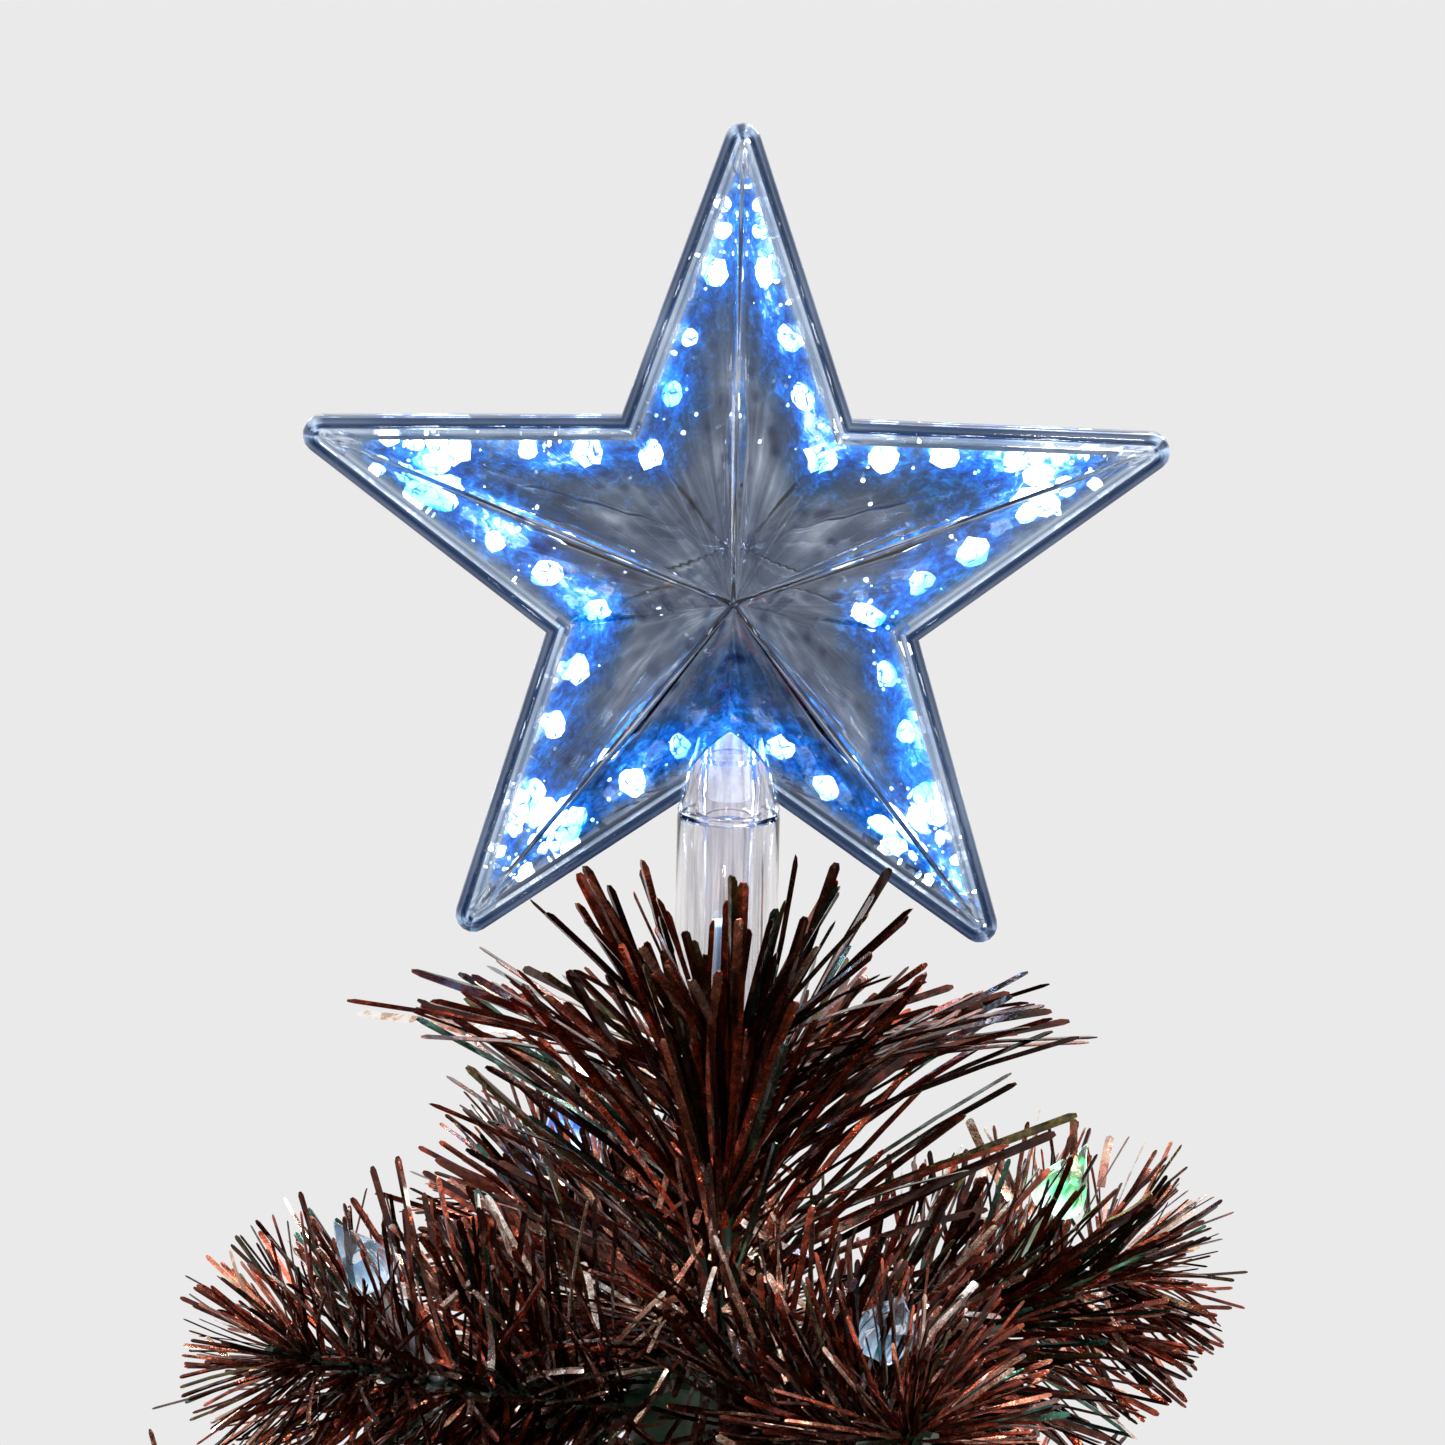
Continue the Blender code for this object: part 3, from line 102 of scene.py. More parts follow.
# The leader's strips stay clear of the neck's foot, and their tips below these heights:
# behind the star, at its two sides, behind to the side, in front, and in front to the side
NECK_FOOT = 0.5097
NECK_GIRTH = 10.5 * MM
REAR_CEILING = 0.541
SIDE_CEILING = 0.515
REAR_SIDE_CEILING = 0.524
FRONT_CEILING = 0.526
FRONT_SIDE_CEILING = 0.511

# Fibres and caps: where a cap's stalk leaves its branch and which way it runs, how deep its tip
# sits in the cap, and how far each point of a loose fibre bows out, with its distance in
# millimetres
STALK_SHARE = 0.62
STALK_RUN = Vector((13 * MM, 0, 20 * MM))
CAP_SEAT = 4.7 * MM
FIBRE_BOWS = [(0.6, 11), (0.9, 21), (1.05, 30), (1.05, 30.6)]
LIGHTS = ["#2f8bff", "#31d26a", "#ffb13c", "#ff4a3c"]

# Base, as in the solids
BASE_RADIUS = 75 * MM
PORT_HEIGHT = 14.5 * MM
INLET_TURN = math.radians(58)
FOOT_CIRCLE = 58
FOOT_TURNS = [math.pi / 4 + math.pi / 2 * i for i in range(4)]
SCREW_CIRCLE = 61.5
SCREW_TURNS = [math.radians(turn) for turn in (30, 150, 270)]

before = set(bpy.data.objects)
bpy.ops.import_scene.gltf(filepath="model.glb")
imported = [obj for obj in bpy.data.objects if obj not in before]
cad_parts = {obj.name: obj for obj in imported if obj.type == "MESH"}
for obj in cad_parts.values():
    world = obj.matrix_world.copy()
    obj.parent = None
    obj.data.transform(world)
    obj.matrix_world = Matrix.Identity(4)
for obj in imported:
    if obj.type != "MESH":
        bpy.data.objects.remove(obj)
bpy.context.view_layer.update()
chance = random.Random(7)


# Camera, stage and lamps


def make_camera():
    """At the photograph's angle: a long lens, eleven degrees above the star."""
    pitch, roll, away = math.radians(11.5), math.radians(1.2), 0.9
    aim_left, aim_down = 1.6 * MM, 21.1 * MM
    ahead = Vector((0, math.cos(pitch), -math.sin(pitch)))
    level_up = Vector((0, math.sin(pitch), math.cos(pitch)))
    right = Vector((math.cos(roll), 0, 0)) + level_up * math.sin(roll)
    up = right.cross(ahead)
    centre = STAR - right * aim_left - up * aim_down
    data = bpy.data.cameras.new("camera")
    data.lens = 157
    data.sensor_width = 36
    data.clip_start = 0.01
    camera = bpy.data.objects.new("camera", data)
    bpy.context.scene.collection.objects.link(camera)
    turn = Matrix((right, up, -ahead)).transposed().to_4x4()
    camera.matrix_world = Matrix.Translation(centre - ahead * away) @ turn
    bpy.context.scene.camera = camera


def make_lamp(name, place, target, size, watts, colour="#ffffff"):
    """A square area lamp that faces its target."""
    data = bpy.data.lights.new(name, "AREA")
    data.size = size
    data.energy = watts
    data.color = linear(colour)[:3]
    lamp = bpy.data.objects.new(name, data)
    bpy.context.scene.collection.objects.link(lamp)
    lamp.location = place
    lamp.rotation_euler = (Vector(target) - Vector(place)).to_track_quat("-Z", "Y").to_euler()


def seen_ray(tree):
    """One for a ray that shows the backdrop itself, in a mirror or through glass."""
    rays = add_node(tree, "LightPath").outputs
    seen = worked_out(tree, "MAXIMUM", rays["Is Camera Ray"], rays["Is Glossy Ray"])
    return worked_out(tree, "MAXIMUM", seen, rays["Is Transmission Ray"])


def make_stage():
    """The pale floor and backdrop, three softboxes, and five small lamps for the foil's glints."""
    bpy.context.scene.view_settings.view_transform = "Standard"
    bm = bmesh.new()
    bmesh.ops.create_circle(bm, cap_ends=True, segments=96, radius=FLOOR_RADIUS)
    bmesh.ops.translate(bm, verts=bm.verts, vec=(0, 0, -0.2 * MM))
    piece("floor", bm, paper_floor())
    world = bpy.data.worlds.new("studio")
    bpy.context.scene.world = world
    world.use_nodes = True
    tree = world.node_tree
    level = ranged(tree, seen_ray(tree), (0, 1), (0.5, 1))
    ground = tree.nodes["Background"]
    ground.inputs["Color"].default_value = linear("#ebeaea")
    tree.links.new(level.outputs[0], ground.inputs["Strength"])
    make_lamp("key_softbox", (-0.9, -1.1, 1.5), (0, 0, 0.45), 0.7, 7)
    make_lamp("fill_softbox", (1.2, -0.8, 1.0), (0, 0, 0.4), 0.8, 4)
    make_lamp("rear_softbox", (0.5, 1.3, 1.3), (0, 0, 0.4), 0.8, 5)
    for name, place, watts in (("left_spark", (-0.28, -0.62, 0.95), 1.3),
                               ("right_spark", (0.42, -0.5, 0.75), 1.1),
                               ("low_spark", (-0.1, -0.7, 0.42), 0.8),
                               ("high_spark", (0.12, -0.3, 1.15), 0.9),
                               ("rear_spark", (0.3, 0.6, 0.8), 0.9)):
        make_lamp(name, place, (0, 0, 0.45), 0.07, watts, "#fff0e6")


# Making of pieces


def outward(turn):
    """Level and away from the tree's axis, at this turn round it."""
    return Vector((math.cos(turn), math.sin(turn), 0))


def facing(direction):
    """The turn that brings +Z round into a direction."""
    return direction.to_track_quat("Z", "Y").to_matrix().to_4x4()


def mesh_from(name, bm):
    """The bmesh as a mesh; the bmesh itself is freed."""
    mesh = bpy.data.meshes.new(name)
    bm.to_mesh(mesh)
    bm.free()
    return mesh


def dress_mesh(mesh, looks, sharp):
    """Gives a mesh its finishes, and smooth shading up to an angle if there is one."""
    for look in looks:
        mesh.materials.append(look)
    if sharp is not None:
        mesh.shade_smooth()
        mesh.set_sharp_from_angle(angle=math.radians(sharp))


def piece(name, bm, *looks, sharp=None):
    """An object at the origin from a bmesh, with its place in its mesh."""
    mesh = mesh_from(name, bm)
    dress_mesh(mesh, looks, sharp)
    obj = bpy.data.objects.new(name, mesh)
    bpy.context.scene.collection.objects.link(obj)
    return obj


def wrapped(columns, rows, place):
    """A grid laid over a form; place(u, v) gives its points, and its seams are welded."""
    bm = bmesh.new()
    bm.loops.layers.uv.new("Surface")
    bmesh.ops.create_grid(bm, x_segments=columns, y_segments=rows, size=0.5, calc_uvs=True)
    for vert in bm.verts:
        vert.co = place(vert.co.x + 0.5, vert.co.y + 0.5)
    bmesh.ops.remove_doubles(bm, verts=bm.verts, dist=WELD)
    bmesh.ops.recalc_face_normals(bm, faces=bm.faces)
    return bm


def turned(profile, steps, centre=Vector((0, 0, 0)), axis=UP):
    """A profile of (radius, height) in millimetres, spun once round an upright axis."""
    bm = bmesh.new()
    verts = [bm.verts.new((radius * MM, 0, height * MM)) for radius, height in profile]
    edges = [bm.edges.new(pair) for pair in zip(verts, verts[1:])]
    if profile[0][0] > 0:
        edges.append(bm.edges.new((verts[-1], verts[0])))
    bmesh.ops.spin(bm, geom=verts + edges, cent=(0, 0, 0), axis=(0, 0, 1), angle=2 * math.pi,
                   steps=steps, use_merge=True)
    bmesh.ops.remove_doubles(bm, verts=bm.verts, dist=WELD)
    bmesh.ops.recalc_face_normals(bm, faces=bm.faces)
    turn = UP.rotation_difference(axis).to_matrix().to_4x4()
    bmesh.ops.transform(bm, matrix=Matrix.Translation(centre) @ turn, verts=bm.verts)
    return bm


def rod(bm, start, end, radius, sides, end_radius=None):
    """A straight round bar between two points, thinner at its end if asked."""
    run = end - start
    bmesh.ops.create_cone(
        bm, cap_ends=True, segments=sides, radius1=radius,
        radius2=radius if end_radius is None else end_radius, depth=run.length,
        matrix=Matrix.Translation(start + run / 2) @ facing(run))


def ride(obj, body, slot, *replaced):
    """Ties a piece to its body and hides the solids that it stands for; the slot is not used."""
    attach(obj, body)
    if replaced:
        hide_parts(*replaced)


def cut_away(obj, bm, sharp=None):
    """Takes the cutter's form out of the piece, which keeps its finish."""
    looks = list(obj.data.materials)
    bmesh.ops.recalc_face_normals(bm, faces=bm.faces)
    cutter = piece("cutter", bm)
    modifier = obj.modifiers.new("Cut", "BOOLEAN")
    modifier.object = cutter
    modifier.solver = "EXACT"
    bpy.context.view_layer.update()
    cut = bpy.data.meshes.new_from_object(obj.evaluated_get(bpy.context.evaluated_depsgraph_get()))
    obj.modifiers.clear()
    obj.data = cut
    bpy.data.objects.remove(cutter)
    cut.materials.clear()
    dress_mesh(cut, looks, sharp)


def point_values(obj, name, values):
    """A number for each point, for the finish to read."""
    layer = obj.data.attributes.new(name, "FLOAT", "POINT")
    layer.data.foreach_set("value", np.asarray(values, dtype=np.float32))


def points_of(obj):
    """The piece's points as rows of x, y and z."""
    flat = np.empty(len(obj.data.vertices) * 3, dtype=np.float32)
    obj.data.vertices.foreach_get("co", flat)
    return flat.reshape(-1, 3)


# Making of finishes


def linear(colour):
    """An sRGB hex colour as linear red, green, blue and alpha."""
    parts = [int(colour[i:i + 2], 16) / 255 for i in (1, 3, 5)]
    return (*(p / 12.92 if p <= 0.04045 else ((p + 0.055) / 1.055) ** 2.4 for p in parts), 1)


def per_metre(size_in_mm):
    """Texture scale for a pattern of this size."""
    return 1 / (size_in_mm * MM)


def set_sockets(tree, node, sockets):
    """Gives each input a value, or links it to another node or to one of its outputs."""
    for name, value in sockets.items():
        if isinstance(value, bpy.types.Node):
            value = value.outputs[0]
        if isinstance(value, bpy.types.NodeSocket):
            tree.links.new(value, node.inputs[name])
        else:
            node.inputs[name].default_value = value


def add_node(tree, kind, sockets=None, **settings):
    """A node with its settings and its inputs."""
    node = tree.nodes.new("ShaderNode" + kind)
    for name, value in settings.items():
        setattr(node, name, value)
    set_sockets(tree, node, sockets or {})
    return node


def worked_out(tree, operation, *values):
    """What a sum, a product or another operation makes of these values."""
    return add_node(tree, "Math", dict(enumerate(values)), operation=operation)


def ranged(tree, value, old, new, clamp=True):
    """A value moved from its old range into a new one."""
    return add_node(tree, "MapRange", {"Value": value, "From Min": old[0], "From Max": old[1],
                                       "To Min": new[0], "To Max": new[1]}, clamp=clamp)


def grainy(tree, place, size_in_mm, detail, **sockets):
    """Noise with a grain of a real size."""
    return add_node(tree, "TexNoise", {"Vector": place, "Scale": per_metre(size_in_mm),
                                       "Detail": detail, **sockets})


def cells(tree, place, size_in_mm, **settings):
    """How far each place is from the seeds of cells of a real size, or from their edges."""
    return add_node(tree, "TexVoronoi", {"Vector": place, "Scale": per_metre(size_in_mm)},
                    **settings).outputs["Distance"]


def ramp(tree, value, *stops):
    """The colours that a value passes through, each at its stop."""
    node = add_node(tree, "ValToRGB", {0: value})
    elements = node.color_ramp.elements
    elements.remove(elements[1])
    elements[0].position = stops[0][0]
    elements[0].color = linear(stops[0][1])
    for place, colour in stops[1:]:
        elements.new(place).color = linear(colour)
    return node


def mixed(tree, share, first, second, blend="MIX"):
    """Two colours, with this share of the second laid over the first."""
    return add_node(tree, "Mix", {0: share, 6: first, 7: second}, data_type="RGBA",
                    blend_type=blend).outputs[2]


def bumped(tree, height, depth_in_mm, strength):
    """Relief of a real depth."""
    return add_node(tree, "Bump", {"Height": height, "Distance": depth_in_mm * MM,
                                   "Strength": strength})


def own_value(tree, name):
    """The numbers that point_values gave to the piece."""
    return add_node(tree, "Attribute", attribute_name=name).outputs["Fac"]


def finish(name, constants):
    """A material, its nodes, its shader and the place on the piece; constants go on the shader."""
    made = bpy.data.materials.new(name)
    made.use_nodes = True
    shader = made.node_tree.nodes["Principled BSDF"]
    for socket, value in constants.items():
        shader.inputs[socket].default_value = linear(value) if isinstance(value, str) else value
    place = add_node(made.node_tree, "TexCoord").outputs["Object"]
    return made, made.node_tree, shader, place


def mottled(name, colours, size_in_mm, roughness, relief, constants=None, spread=(0.3, 0.7),
            stretch=(1, 1, 1)):
    """A finish whose colour, gloss and relief follow one grain of a real size."""
    made, tree, shader, place = finish(name, constants or {})
    place = add_node(tree, "Mapping", {"Vector": place, "Scale": stretch})
    grain = grainy(tree, place, size_in_mm, 3.0)
    set_sockets(tree, shader, {"Base Color": ramp(tree, grain, *zip(spread, colours)),
                               "Roughness": ranged(tree, grain, (0.3, 0.7), roughness),
                               "Normal": bumped(tree, grain, relief, 0.6)})
    return made


def paper_floor():
    """Seamless studio paper: matt, a faint fibre mottle, lost in the backdrop at its edge."""
    made = mottled("studio_paper_matt", ("#ebeaea", "#f1f0f0"), 6, (0.85, 0.95), 0.02,
                   {"Specular IOR Level": 0.2, "Emission Color": "#ebeaea"})
    tree = made.node_tree
    lift = worked_out(tree, "MULTIPLY", seen_ray(tree), 0.08)
    place = add_node(tree, "TexCoord").outputs["Object"]
    reach = add_node(tree, "VectorMath", {0: place}, operation="LENGTH").outputs["Value"]
    fade = ranged(tree, reach, (0.5 * FLOOR_RADIUS, 0.97 * FLOOR_RADIUS), (1, 0))
    set_sockets(tree, tree.nodes["Principled BSDF"], {"Emission Strength": lift, "Alpha": fade})
    return made


def refracted_room_shade(tree, place, blotch):
    """Painted shade: a blue-grey tint for the dark room seen through the clear star, in streaks out
    from the star's middle, with scratches and painted dark spots.

    The streaks and scratches read an angle in radians, so their scales are lines to a radian.
    """
    local = add_node(tree, "Mapping", {"Vector": place, "Location": (0, 0, -STAR.z)})
    axes = add_node(tree, "SeparateXYZ", {0: local}).outputs
    angle = worked_out(tree, "ARCTAN2", axes["X"], axes["Z"])
    ray = add_node(tree, "CombineXYZ", {"X": angle, "Y": axes["Y"]})
    streak = add_node(tree, "TexNoise", {"Vector": ray, "Scale": 9.0, "Detail": 4.0})
    half = worked_out(tree, "MULTIPLY", worked_out(tree, "ADD", streak, blotch), 0.5)
    # Painted shade: the tint stands for the dark room seen through the clear plastic
    room_shade = ramp(tree, half, (0.35, "#67748c"), (0.46, "#8793a6"), (0.54, "#a2abba"),
                 (0.62, "#dde4ec"))
    # Painted shade: dark blue spots in cells, which stand for unlit studs
    stud_cells = cells(tree, place, 5.2, feature="SMOOTH_F1")
    stud_shade = ramp(tree, stud_cells, (0.1, "#6a7ca6"), (0.24, "#ffffff"))
    room_shade = mixed(tree, 1.0, room_shade, stud_shade, "MULTIPLY")
    far = add_node(tree, "VectorMath", {0: local}, operation="LENGTH").outputs["Value"]
    fine = add_node(tree, "CombineXYZ", {"X": angle, "Y": far})
    scratch = add_node(tree, "TexNoise", {"Vector": fine, "Scale": 26.0, "Detail": 2.0})
    lines = ramp(tree, scratch, (0.48, "#000000"), (0.5, "#c8c8c8"), (0.52, "#000000"))
    return mixed(tree, lines, room_shade, linear("#e4eaf2"))


def clear_polystyrene(name, glow):
    """Crystal polystyrene, injection moulded and clear: its blue-grey tint, streaks and dark spots
    are painted shade, and its glow is painted light.

    The spark attribute says how much of the fibre's light reaches a point, the band
    attribute is one on the clear rim, and the rail attribute runs in lines across it.
    """
    made, tree, shader, place = finish(name, {
        "Transmission Weight": 1.0, "IOR": 1.5, "Roughness": 0.03, "Emission Strength": glow})
    spark, band, rail = (own_value(tree, value) for value in ("spark", "band", "rail"))
    blotch = grainy(tree, place, 9, 3.0)
    # Painted light: the base colour turns blue where the fibre's light reaches
    depth = ranged(tree, spark, (0.06, 0.4), (0, 0.92))
    tint = mixed(tree, depth, refracted_room_shade(tree, place, blotch), linear("#2c709c"))
    # Painted highlight and shade: light and dark lines across the clear rim band
    clear = ramp(tree, rail, (0.2, "#7f93a8"), (0.5, "#c2cad4"), (0.8, "#eef1f4"))
    ripple = grainy(tree, place, 1.6, 4.0, Roughness=0.65, Distortion=0.6)
    ragged = ranged(tree, ripple, (0.25, 0.75), (-0.34, 0.34), clamp=False)
    light = ramp(tree, worked_out(tree, "ADD", spark, ragged), (0.18, "#000000"), (0.32, "#021a33"),
                 (0.47, "#073f74"), (0.62, "#1164b4"), (0.74, "#3f9ae2"), (0.82, "#f2f9ff"))
    # Painted light: a faint grey glow along the rim band's lines
    rim_glow = ramp(tree, rail, (0.2, "#0c1c30"), (0.5, "#232b38"), (0.85, "#4a5058"))
    rim_glow = add_node(tree, "VectorMath", {0: rim_glow, "Scale": 1 / glow}, operation="SCALE")
    set_sockets(tree, shader, {"Base Color": mixed(tree, band, tint, clear),
                               "Emission Color": mixed(tree, band, light, rim_glow),
                               "Normal": bumped(tree, blotch, 0.12, 0.25)})
    return made


def lit_prism():
    """The moulded prisms at full light: white cores with blue cracks where facets turn away."""
    made, tree, shader, place = finish("polystyrene_prism_lit", {
        "Base Color": "#dfeeff", "Roughness": 0.12, "Emission Strength": 16.0})
    facets = cells(tree, place, 1.9, feature="DISTANCE_TO_EDGE")
    swirl = grainy(tree, place, 1.3, 3.0)
    light = ramp(tree, worked_out(tree, "MULTIPLY_ADD", swirl, 0.35, facets), (0.12, "#072a66"),
                 (0.17, "#154a9e"), (0.23, "#f6faff"), (0.6, "#ffffff"))
    set_sockets(tree, shader, {"Emission Color": light})
    return made


def clear_tube():
    """Clear polystyrene tube, moulded with a draw line: cleaner than the star, faint drag marks."""
    made, tree, shader, place = finish("polystyrene_clear_tube", {
        "Transmission Weight": 1.0, "IOR": 1.5, "Roughness": 0.03, "Emission Strength": 0.5})
    drawn = add_node(tree, "Mapping", {"Vector": place, "Scale": (1, 1, 0.08)})
    marks = grainy(tree, drawn, 1.4, 3.0)
    tint = ramp(tree, marks, (0.34, "#cdccd2"), (0.43, "#eeedee"), (0.54, "#fcfbfb"))
    # Painted light: the tube glows blue where the spark attribute says the fibre's light reaches
    fade = worked_out(tree, "MULTIPLY", own_value(tree, "spark"), marks)
    light = ramp(tree, fade, (0.08, "#000000"), (0.3, "#163f8c"), (0.5, "#5fa2f0"),
                 (0.7, "#e8f4ff"))
    set_sockets(tree, shader, {"Base Color": tint, "Emission Color": light,
                               "Normal": bumped(tree, marks, 0.05, 0.3)})
    return made


def frosted_rod():
    """Polystyrene rod with sawn, blasted faces: milky, light scatters inside it, shown as a faint
    painted glow.
    """
    return mottled("polystyrene_frosted_rod", ("#c9cfda", "#f4f6fa"), 0.8, (0.45, 0.65), 0.05,
                   {"Transmission Weight": 0.5, "IOR": 1.5, "Emission Color": "#e9edf2",
                    "Emission Strength": 0.4})


def foil(name, *colours):
    """Metallised PVC film, slit in strips: dark mirror with creases that flash in the light, with
    painted glints where the crease noise raises the base colour.

    The tone attribute picks a strip's colour, the run attribute goes from root to tip.
    """
    made, tree, shader, place = finish(name, {
        "Metallic": 0.95, "Coat Weight": 0.5, "Coat Roughness": 0.07})
    crease = grainy(tree, place, 3, 4.0, Roughness=0.6)
    shade = ramp(tree, own_value(tree, "tone"), *colours)
    shade.color_ramp.interpolation = "CONSTANT"
    # Painted glints: the base colour is raised up to threefold where the crease noise is high
    lift = ranged(tree, crease, (0.46, 0.66), (0.7, 3.1))
    # Lighter towards each strip's tip
    brighter_to_tip = ranged(tree, own_value(tree, "run"), (0.9, 1), (1, 1.5))
    level = worked_out(tree, "MULTIPLY", lift, brighter_to_tip)
    colour = add_node(tree, "VectorMath", {0: shade, "Scale": level}, operation="SCALE")
    set_sockets(tree, shader, {"Base Color": colour,
                               "Roughness": ranged(tree, crease, (0.35, 0.6), (0.32, 0.12)),
                               "Normal": bumped(tree, crease, 0.4, 0.8)})
    return made


def lit_fibre():
    """Drawn acrylic fibre: clear along its length, its cut end glows.

    The light attribute holds the colour of its end, black along the length.
    """
    made, tree, shader, place = finish("acrylic_fibre_drawn", {
        "Transmission Weight": 0.7, "IOR": 1.49, "Roughness": 0.1, "Emission Strength": 4.0})
    tint = ramp(tree, grainy(tree, place, 5, 2.0), (0.35, "#cdd6e2"), (0.65, "#f3f6fa"))
    light = add_node(tree, "Attribute", attribute_name="light").outputs["Color"]
    set_sockets(tree, shader, {"Base Color": tint, "Emission Color": light})
    return made


def tulip_plastic(name, glow, dark, mid, bright):
    """Clear polystyrene cap: the fibre's light pools in its lower rim."""
    made, tree, shader, place = finish(name, {
        "Transmission Weight": 0.95, "IOR": 1.5, "Roughness": 0.06, "Emission Strength": glow})
    swirl = grainy(tree, place, 2.5, 3.0)
    ragged = ranged(tree, swirl, (0.3, 0.7), (-0.2, 0.2), clamp=False)
    light = ramp(tree, worked_out(tree, "ADD", own_value(tree, "spark"), ragged),
                 (0.2, "#000000"), (0.42, dark), (0.66, mid), (0.92, bright))
    tint = ramp(tree, swirl, (0.35, "#c3cbd8"), (0.65, "#eef1f6"))
    set_sockets(tree, shader, {"Base Color": tint, "Emission Color": light})
    return made


# The star


def star_corners():
    """The sharp outline's corners, notch and tip by turns, from the bottom notch round to it."""
    corners = []
    for k in range(11):
        radius = STAR_NOTCH if k % 2 == 0 else STAR_TIP
        angle = math.pi + HALF_ARM * k
        corners.append(Vector((radius * math.sin(angle), 0, radius * math.cos(angle))))
    return corners


def star_columns():
    """Each column's place on the rounded edge and on the sharp one, and its flute."""
    columns = []
    lean = math.atan2(STAR_NOTCH * math.sin(HALF_ARM), STAR_TIP - STAR_NOTCH * math.cos(HALF_ARM))
    slip = TIP_ROUNDING / math.tan(lean)
    corners = star_corners()
    for k in range(10):
        start, end = corners[k], corners[k + 1]
        along = (end - start).normalized()
        if k % 2 == 0:
            for i in range(EDGE_STEPS):
                share = i / EDGE_STEPS
                edge = start.lerp(end - along * slip, share)
                columns.append((edge, start.lerp(end, share), i % 2))
            continue
        centre = start - start.normalized() * (TIP_ROUNDING / math.sin(lean))
        first = start - (start - corners[k - 1]).normalized() * slip - centre
        last = start + along * slip - centre
        for j in range(TIP_STEPS + 1):
            spoke = first.slerp(last, j / TIP_STEPS).normalized() * TIP_ROUNDING
            columns.append((centre + spoke, start, 0))
        for i in range(1, EDGE_STEPS):
            share = i / EDGE_STEPS
            edge = (start + along * slip).lerp(end, share)
            columns.append((edge, start.lerp(end, share), i % 2))
    return columns


def star_half(side):
    """One half as a closed shell: ridged facets outside, fluted facets inside."""
    columns = star_columns()
    notch, tip = star_corners()[:2]
    inner_radius = STAR_TIP * STAR_NOTCH * math.sin(HALF_ARM) / (notch - tip).length
    facet = 1 - RIM_WIDTH / inner_radius
    rim = [(0, 0), (0, 1.7), (0.1, 2.25), (0.34, 2.7), (0.7, 2.95), (1.05, 2.85), (1.35, 2.45),
           (1.7, 2.4), (2.05, 2.75), (2.4, 3), (2.8, 2.95), (3.1, 2.9)]
    steps = 16
    rows = [("facet", i / steps, 0, False) for i in range(steps)]
    rows += [("rim", inset, depth, False) for inset, depth in reversed(rim)]
    rows += [("rim", 1.5, 0.0, True), ("rim", 1.6, 0.55, True)]
    rows += [("facet", 1 - i / steps, WALL_DROP, True) for i in range(steps + 1)]

    def place(u, v):
        rounded, sharp, flute = columns[round(u * len(columns)) % len(columns)]
        kind, across, deep, inside = rows[round(v * (len(rows) - 1))]
        if kind == "rim":
            spot = rounded.lerp(sharp * facet, across * MM / RIM_WIDTH)
            return STAR + spot + Vector((0, side * deep * MM, 0))
        depth = RIM_DEPTH + (STAR_DEPTH - RIM_DEPTH) * (1 - across) - deep
        if inside:
            depth += flute * FLUTE_DEPTH * min(1, across * 2) * min(1, (1 - across) * 8)
        return STAR + sharp * facet * across + Vector((0, side * depth, 0))

    return wrapped(len(columns), len(rows) - 1, place)


def pip_places():
    """The prisms on the back half's inner wall, two rows in each arm."""
    found = []
    for arm in range(5):
        turn = WHOLE_ARM * arm
        axis = Vector((math.sin(turn), 0, math.cos(turn)))
        side = Vector((math.cos(turn), 0, -math.sin(turn)))
        for out, across, size in PIP_SHARES + (CLUSTER_SHARES if arm else []):
            for hand in (-1, 1) if across else (1,):
                flat = (axis * out + side * across * hand) * STAR_TIP
                found.append((flat, size * chance.uniform(0.82, 1.22)))
        if arm != 2:
            turn += HALF_ARM
            flat = Vector((math.sin(turn), 0, math.cos(turn))) * 0.29 * STAR_TIP
            found.append((flat, 1.2))
    return [(flat, wall_depth(flat), size) for flat, size in found]


def wall_depth(flat):
    """How deep the inner wall lies behind a point of the star's plane."""
    turn = math.atan2(flat.x, flat.z) % WHOLE_ARM
    turn = min(turn, WHOLE_ARM - turn)
    tip = Vector((0, STAR_TIP))
    notch = Vector((STAR_NOTCH * math.sin(HALF_ARM), STAR_NOTCH * math.cos(HALF_ARM)))
    spot = Vector((math.sin(turn), math.cos(turn))) * flat.length
    run = (notch - tip).normalized()
    level = Vector((-run.y, run.x))
    share = spot.dot(level) / tip.dot(level)
    return RIM_DEPTH + (STAR_DEPTH - RIM_DEPTH) * (1 - share / RIM_SHARE) - WALL_DROP


